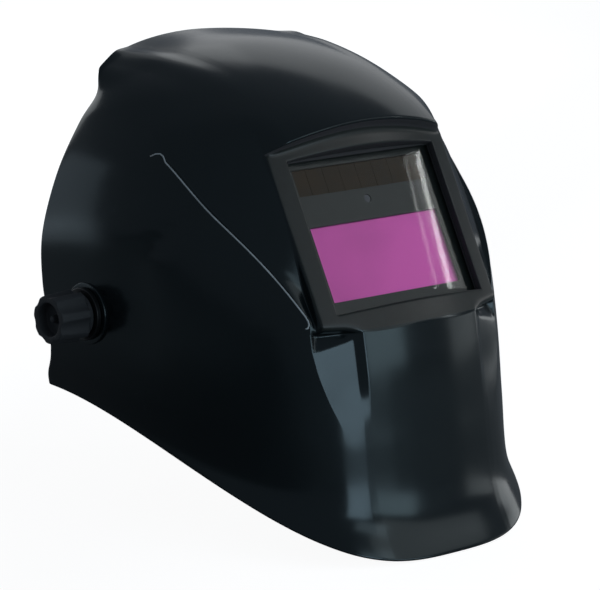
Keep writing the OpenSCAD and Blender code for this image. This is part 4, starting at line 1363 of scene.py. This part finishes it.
@dataclass
class Pad:
    """A foam pad in knitted cloth that lines part of a round band.

    Angles are degrees about the vertical line at centre_y, 0 towards the wearer's left.
    """

    name: str
    node: str
    body: str
    look: Look
    centre_y: float
    radii: tuple[float, float]
    heights: tuple[float, float]
    angles: tuple[float, float]
    channels: int
    swell: float = 5.0
    frames: int = 20
    channel_depth: float = 2.1
    channel_half: float = 1.1
    welt_depth: float = 1.0
    welt_inset: float = 4.0

    def shape(self) -> bpy.types.Object:
        """The flat cushion before it is filled, a little smaller than its place."""
        inner, outer = self.radii[0] + 1.9, self.radii[1] - 0.5
        low, high = self.heights[0] + 1.4, self.heights[1] - 1.4
        around = np.radians(np.linspace(self.angles[0] + 1.2, self.angles[1] - 1.2, 60))
        middle, half = (low + high) / 2, (high - low) / 2
        thick = (outer - inner) / 2
        ring = []
        for t in np.linspace(0, 2 * math.pi, 28, endpoint=False):
            c, s = math.cos(t), math.sin(t)
            ring.append((thick * math.copysign(abs(c) ** 0.6, c), half * math.copysign(abs(s) ** 0.35, s)))
        points = []
        for k, a in enumerate(around):
            end = min(k, len(around) - 1 - k)
            taper = (0.62, 0.9)[end] if end < 2 else 1.0
            for dr, dz in ring:
                r = (inner + outer) / 2 + dr * taper
                height = middle + dz * (0.5 + 0.5 * taper)
                points.append([r * math.cos(a), self.centre_y + r * math.sin(a), height])
        faces = grid_faces(len(around), len(ring), loop_cols=True)
        faces += [list(range(len(ring)))[::-1], list(range((len(around) - 1) * len(ring), len(points)))]
        return mesh_object(self.name, np.array(points), faces)

    def filled(self, flat: bpy.types.Object) -> bpy.types.Object:
        """Fills the cushion: an even remesh, then cloth under pressure that settles where it lies."""
        even = flat.modifiers.new("even", "REMESH")
        even.mode = "VOXEL"
        even.voxel_size = 2.4 * MM
        cushion = frozen(flat, self.name)
        start = self.points(cushion)
        scene = bpy.context.scene
        cloth = cushion.modifiers.new("cloth", "CLOTH")
        cloth.settings.quality = 6
        cloth.settings.mass = 0.15
        cloth.settings.use_pressure = True
        cloth.settings.uniform_pressure_force = 4.0
        cloth.settings.tension_stiffness = 12.0
        cloth.settings.compression_stiffness = 12.0
        cloth.settings.bending_stiffness = 0.6
        cloth.settings.effector_weights.gravity = 0.0
        cloth.point_cache.frame_start, cloth.point_cache.frame_end = 1, self.frames
        for step in range(1, self.frames + 1):
            scene.frame_set(step)
        settled = frozen(cushion, self.name)
        scene.frame_set(1)
        moved = self.points(settled) - start
        length = np.linalg.norm(moved, axis=1, keepdims=True)
        self.place(settled, start + moved * np.minimum(1.0, self.swell / np.maximum(length, 1e-9)))
        return settled

    @staticmethod
    def points(piece: bpy.types.Object) -> Array:
        """A piece's points in millimetres."""
        flat = np.empty(len(piece.data.vertices) * 3, np.float32)
        piece.data.vertices.foreach_get("co", flat)
        return flat.reshape(-1, 3).astype(float) / MM

    @staticmethod
    def place(piece: bpy.types.Object, points: Array) -> None:
        """Puts a piece's points back, from millimetres."""
        piece.data.vertices.foreach_set("co", (points * MM).astype(np.float32).ravel())
        piece.data.update()

    def seams(self) -> Array:
        """The angle of each sewn channel."""
        return np.radians(np.linspace(self.angles[0], self.angles[1], self.channels + 2)[1:-1])

    def fitted(self, cushion: bpy.types.Object) -> bpy.types.Object:
        """Rounds the mesh off, presses the pad flat on its band and sinks its sewn channels."""
        smooth = cushion.modifiers.new("smooth", "SUBSURF")
        smooth.levels = smooth.render_levels = 1
        pad = frozen(cushion, self.name)
        p = self.points(pad)
        y = p[:, 1] - self.centre_y
        r, a = np.hypot(p[:, 0], y), np.arctan2(y, p[:, 0]) % (2 * math.pi)
        middle = (self.heights[0] + self.heights[1]) / 2
        z = middle + np.clip(p[:, 2] - middle, self.heights[0] - middle - 0.4, self.heights[1] - middle + 0.4)
        face = soft(sum(self.radii) / 2, self.radii[0] + 1.0, r)
        for seam in self.seams():
            r = r + self.channel_depth * face * np.exp(-(((a - seam) * r) / self.channel_half) ** 2)
        edge = np.minimum(z - self.heights[0], self.heights[1] - z)
        r = r + self.welt_depth * face * np.exp(-((edge - self.welt_inset) / 0.8) ** 2)
        r = np.clip(r, self.radii[0] - 1.2, self.radii[1] - 0.02)
        self.place(pad, np.c_[r * np.cos(a), self.centre_y + r * np.sin(a), z])
        pad.data.polygons.foreach_set("use_smooth", [True] * len(pad.data.polygons))
        return pad

    def stitches(self) -> bpy.types.Object:
        """Two rows of stitches along the pad's inner face, near its edges."""
        tree = GeoTree(f"{self.name}_stitches", Radius="Float", Sweep="Float", Length="Float", Thick="Float",
                       Apart="Float")
        thick, length = tree.size("Thick"), tree.size("Length")
        arc = tree.node("GeometryNodeCurveArc", {"mode": "RADIUS"}, {
            "Resolution": 90, "Radius": tree.size("Radius"), "Start Angle": 0.0,
            "Sweep Angle": tree.size("Sweep")}, "Curve")
        spots = tree.node("GeometryNodeCurveToPoints", {"mode": "LENGTH"}, {
            "Curve": arc, "Length": length * 1.35}, "Points")
        turns = Sock(tree, spots.socket.node.outputs["Rotation"])
        bead = tree.solid("UVSphere", {"Segments": 10, "Rings": 7, "Radius": 0.5})
        row = tree.copies(spots, tree.scaled(bead, thick, thick, length), turns)
        rows = [tree.moved(row, tree.vector(0.0, 0.0, tree.size("Apart") * side)) for side in (0.5, -0.5)]
        low, high = self.heights
        made = tree.piece(f"{self.name}_stitches", Look.THREAD, tree.joined(*rows),
                          Radius=(self.radii[0] + 1.0) * MM,
                          Sweep=math.radians(self.angles[1] - self.angles[0] - 6),
                          Length=2.2 * MM, Thick=0.55 * MM, Apart=(high - low - 2 * self.welt_inset) * MM)
        turn = Matrix.Rotation(math.radians(self.angles[0] + 3), 4, "Z")
        made.data.transform(Matrix.Translation((0.0, self.centre_y * MM, (low + high) / 2 * MM)) @ turn)
        return made

    def build(self) -> None:
        """Makes the pad and its stitches."""
        pad = dress(self.fitted(self.filled(self.shape())), self.look, self.body, self.node)
        self.sewn_on(self.stitches(), pad)

    def sewn_on(self, thread: bpy.types.Object, pad: bpy.types.Object) -> None:
        """Lays the stitches in the pad's own sunk line and has them ride with it."""
        p, q = self.points(thread), self.points(pad)
        around = sum(self.radii) / 2
        y = q[:, 1] - self.centre_y
        inner = np.hypot(q[:, 0], y) < around + 0.5
        depth = np.hypot(q[:, 0], y)[inner]
        tree = KDTree(len(depth))
        for k, (u, v) in enumerate(zip(np.arctan2(y, q[:, 0])[inner], q[:, 2][inner])):
            tree.insert((u * around, v, 0.0), k)
        tree.balance()
        y = p[:, 1] - self.centre_y
        r, a = np.hypot(p[:, 0], y), np.arctan2(y, p[:, 0])
        level = np.array([np.mean([depth[k] for _, k, _ in tree.find_n((u * around, v, 0.0), 4)])
                          for u, v in zip(a, p[:, 2])])
        r = r - (self.radii[0] + 1.0) + level
        self.place(thread, np.c_[r * np.cos(a), self.centre_y + r * np.sin(a), p[:, 2]])
        dress(thread, Look.THREAD, self.body)


@dataclass
class Headgear:
    """The band, arms, straps, rear ratchet and pads inside the shell."""

    knob_at: tuple[float, float] = (110.0, -25.0)
    knob_radius: float = 19.0
    knob_length: float = 12.0
    grips: int = 16
    grip_depth: float = 0.9
    bore: float = 3.42
    rivet_at: tuple[float, float] = (74.0, 18.5)
    pads: tuple[Pad, ...] = (
        Pad("brow_pad", "sweatband", "headgear", Look.BROW_FOAM, -8.0,
            radii=(67.4, 73.85), heights=(10.0, 44.0), angles=(195.0, 345.0), channels=5),
        Pad("nape_cushion", "nape_pad", "rear_adjuster", Look.NAPE_FOAM, 26.0,
            radii=(66.7, 73.25), heights=(-43.0, -7.0), angles=(54.0, 126.0), channels=2))

    def gripped(self, angles: Array, radius: float, _height: float) -> Array:
        """Radii of a ring of the ratchet knob, with its finger grips let in."""
        if radius < self.knob_radius - 1.5:
            return np.full_like(angles, radius)
        return radius - self.grip_depth * (0.5 + 0.5 * np.cos(angles * self.grips)) ** 1.5

    def ratchet_knob(self) -> bpy.types.Object:
        """The rear knob, with finger grips, a shallow dish and a low hub."""
        r, t = self.knob_radius, self.knob_length
        outline = rounded([(self.bore, 0.0), (r - 1, 0.0), (r, 1.0), (r, t - 2), (r - 1.6, t), (r - 4.5, t),
                           (r - 5.5, t - 1.8), (7.5, t - 1.8), (6.8, t - 0.6), (0.8, t - 0.4)], 0.8, 4)
        profile = [(0.0, 5.4), (self.bore, 5.4), *outline, (0.0, t - 0.4)]
        points, faces = lathe(profile, 8 * self.grips, self.gripped)
        y, z = self.knob_at
        placed = np.c_[points[:, 0], y + points[:, 2], z + points[:, 1]]
        made = mesh_object("ratchet_knob_piece", placed, faces)
        made.data.set_sharp_from_angle(angle=math.radians(50))
        return dress(made, Look.KNOB, "rear_knob", "ratchet_knob")

    def rivets(self) -> bpy.types.Object:
        """The snap rivets' round heads on the inside of each temple."""
        tree = GeoTree("snap_rivets", Radius="Float", Rise="Float", Across="Float", Along="Float")
        ball = tree.solid("UVSphere", {"Segments": 24, "Rings": 12, "Radius": 1.0})
        radius = tree.size("Radius")
        head = tree.scaled(ball, tree.size("Rise"), radius, radius)
        spots = tree.corners(tree.size("Across"), tree.size("Along"))
        made = tree.piece("arm_rivets", Look.ARM, tree.copies(spots, head), Radius=3.0 * MM, Rise=0.9 * MM,
                          Across=self.rivet_at[0] * MM, Along=self.rivet_at[1] * MM)
        return dress(made, Look.ARM, "headgear")

    def tail(self, suffix: str) -> bpy.types.Object:
        """A band tail: a rounded copy of its node's solid, on no body; in the helmet the band holds one end
        and the ratchet draws the other along.
        """
        made = frozen(rounded_copy(f"band_tail_{suffix}", 0.25), f"band_tail_{suffix}_piece")
        made.data.materials.clear()
        made.data.materials.append(Look.BAND.material())
        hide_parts(f"band_tail_{suffix}")
        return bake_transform(made)

    def build(self) -> None:
        """Makes the headgear."""
        for node in ("headband", "crown_strap_l", "crown_strap_r", "ratchet_case", "ratchet_cover"):
            refined(node, Look.BAND, 0.4)
        for node, look, bevel in (("crown_peg", Look.ARM, 0.4), ("side_arm_l", Look.ARM, 0.7),
                                  ("side_arm_r", Look.ARM, 0.7), ("pinion", Look.PINION, 0.1),
                                  ("detent_spring", Look.SPRING, 0.1)):
            refined(node, look, bevel)
        self.ratchet_knob()
        self.rivets()
        self.tail("l")
        self.tail("r")
        for pad in self.pads:
            pad.build()


# ---------------------------------------------------------------- studio


@dataclass(frozen=True)
class Lamp:
    """One rectangular lamp that faces the helmet.

    The place and size are metres, the roll is degrees, and a level of 1 is a white face.
    """

    name: str
    place: tuple[float, float, float]
    size: tuple[float, float]
    level: float
    tint: Colour = (1.0, 1.0, 1.0)
    roll: float = 0.0

    def hang(self) -> None:
        """Puts the lamp in the scene."""
        data = bpy.data.lights.new(self.name, "AREA")
        data.shape = "RECTANGLE"
        data.size, data.size_y = self.size
        data.energy = 4.0 * self.size[0] * self.size[1] * self.level
        data.color = self.tint
        made = bpy.data.objects.new(self.name, data)
        made.location = self.place
        made.rotation_mode = "QUATERNION"
        facing = (Vector((0.0, -0.05, 0.0)) - Vector(self.place)).to_track_quat("-Z", "Y")
        made.rotation_quaternion = facing @ Quaternion((0.0, 0.0, 1.0), math.radians(self.roll))
        bpy.context.scene.collection.objects.link(made)


@dataclass
class Studio:
    """A plain pale floor, soft lamps and the camera."""

    distance: float = 1.8
    azimuth: float = -40.372
    elevation: float = 11.802
    lens: float = 191.376
    aim: tuple[float, float] = (0.017147, 0.0028756)
    fill: Colour = (0.118, 0.136, 0.160)
    floor_half: float = 6.0
    floor_gap: float = 0.5
    floor_glow: float = 0.93
    # Painted dim and lit floor colours, seen mostly in the shell's reflections.
    floor_painted_dim: Colour = (0.46, 0.47, 0.48)
    floor_painted_lit: Colour = (0.72, 0.74, 0.75)
    lamps: tuple[Lamp, ...] = (
        Lamp("front_strip", (-0.27, -2.13, 0.33), (0.72, 0.78), 1.7, (0.78, 0.96, 1.12)),
        Lamp("front_box", (1.00, -1.61, 1.06), (1.55, 0.90), 0.44),
        Lamp("front_low", (0.71, -1.96, 0.24), (1.02, 0.48), 1.15, (0.80, 0.98, 1.08)),
        Lamp("front_right", (1.80, -1.20, 0.05), (0.75, 0.32), 0.62),
        Lamp("front_high", (0.20, -1.91, 0.95), (0.90, 0.34), 0.75, (0.84, 0.98, 1.08)),
        Lamp("front_floor", (0.10, -2.13, -0.050), (1.60, 0.11), 0.34, (0.84, 0.98, 1.08)),
        Lamp("right_box", (2.10, -0.35, 0.15), (0.80, 0.55), 1.15),
        Lamp("top_right", (1.50, 0.90, 0.90), (1.50, 1.10), 0.38),
        Lamp("top_rear", (0.60, 1.50, 1.20), (1.20, 0.80), 0.15),
        Lamp("rear_left", (-1.20, 1.68, 0.24), (0.80, 0.62), 0.28, (0.86, 0.98, 1.10)),
        Lamp("rear_wide", (0.10, 2.05, 0.42), (1.50, 1.10), 0.70),
        Lamp("rear_low", (-0.84, 1.02, -0.03), (0.50, 0.15), 0.36, (0.86, 0.98, 1.10)),
        Lamp("lens_band", (1.681, -1.183, 1.048), (0.021, 0.34), 16.0, roll=-42.0),
        Lamp("lens_line", (1.630, -1.223, 1.071), (0.009, 0.34), 8.0, roll=-42.0),
        Lamp("lens_glow", (1.700, -1.165, 1.040), (0.13, 0.32), 2.3, roll=-32.0))

    def camera(self) -> None:
        """Places the camera and turns it the least that brings the helmet to the middle."""
        a, e = math.radians(self.azimuth), math.radians(self.elevation)
        back = Vector((math.sin(a) * math.cos(e), -math.cos(a) * math.cos(e), math.sin(e)))
        level = (-back).to_track_quat("-Z", "Y")
        ray = Vector((self.aim[0], -self.aim[1], -1.0)).normalized()
        turn = Vector((0.0, 0.0, -1.0)).rotation_difference(ray)
        data = bpy.data.cameras.new("camera")
        data.lens = self.lens
        data.clip_start, data.clip_end = 0.1, 30.0
        made = bpy.data.objects.new("camera", data)
        made.rotation_mode = "QUATERNION"
        made.location = back * self.distance
        made.rotation_quaternion = level @ turn
        bpy.context.scene.collection.objects.link(made)
        bpy.context.scene.camera = made

    def world(self) -> None:
        """White where the camera looks past the helmet, and a plain soft level elsewhere."""
        world = bpy.data.worlds.new("studio")
        world.use_nodes = True
        tree = NodeTree()
        tree.tree = world.node_tree
        tree.tree.nodes.clear()
        seen = tree.node("ShaderNodeLightPath", output="Is Camera Ray").maximum(
            tree.node("ShaderNodeLightPath", output="Is Transmission Ray"))
        level = tree.blend(seen, (*self.fill, 1.0), (1.0, 1.0, 1.0, 1.0))
        tree.output(tree.node("ShaderNodeBackground", None, {"Color": level}), "ShaderNodeOutputWorld")
        bpy.context.scene.world = world

    def floor(self) -> None:
        """A pale floor just below the helmet, white to the camera but for the helmet's shadow, with painted
        pools of light that the shell reflects.
        """
        low, half = CAD_BOX[0][2] / MM - self.floor_gap, self.floor_half / MM
        corners = [(-half, -half, low), (half, -half, low), (half, half, low), (-half, half, low)]
        made = mesh_object("floor", np.array(corners), [[0, 1, 2, 3]], outward=False)
        tree = ShaderTree("floor_paper")
        across = tree.node("ShaderNodeSeparateXYZ", None, {0: tree.place()}, "X")
        back = tree.node("ShaderNodeSeparateXYZ", None, {0: tree.place()}, "Y")
        # Painted pools of light: the floor's colour is paler in front of the chin and off to the rear left,
        # for the shell to reflect.
        slant = across * 0.6 - back
        far = slant.above(-0.05, 0.5).maximum(0.9 * (slant * -1.0).above(0.20, 0.35))
        matte = tree.node("ShaderNodeBsdfPrincipled", None, {
            "Base Color": tree.blend(far, linear(self.floor_painted_dim), linear(self.floor_painted_lit)),
            "Roughness": 0.9, "Specular IOR Level": 0.1})
        glow = tree.node("ShaderNodeEmission", None, {
            "Color": (1.0, 1.0, 1.0, 1.0), "Strength": self.floor_glow})
        both = tree.node("ShaderNodeAddShader", None, {0: matte, 1: glow})
        tree.output(tree.node("ShaderNodeMixShader", None, {
            0: tree.node("ShaderNodeLightPath", output="Is Camera Ray"), 1: matte, 2: both}))
        made.data.materials.append(tree.material)

    def build(self) -> None:
        """Makes the whole studio."""
        bpy.context.scene.view_settings.view_transform = "Standard"
        self.camera()
        self.world()
        self.floor()
        for lamp in self.lamps:
            lamp.hang()


def main() -> None:
    """Builds the studio and every piece in turn."""
    logging.basicConfig(level=logging.INFO, format="%(message)s")
    Studio().build()
    shell = Shell()
    shell.build()
    Window(shell).build()
    Pivots().build()
    Headgear().build()


if __name__ == "__main__":
    main()
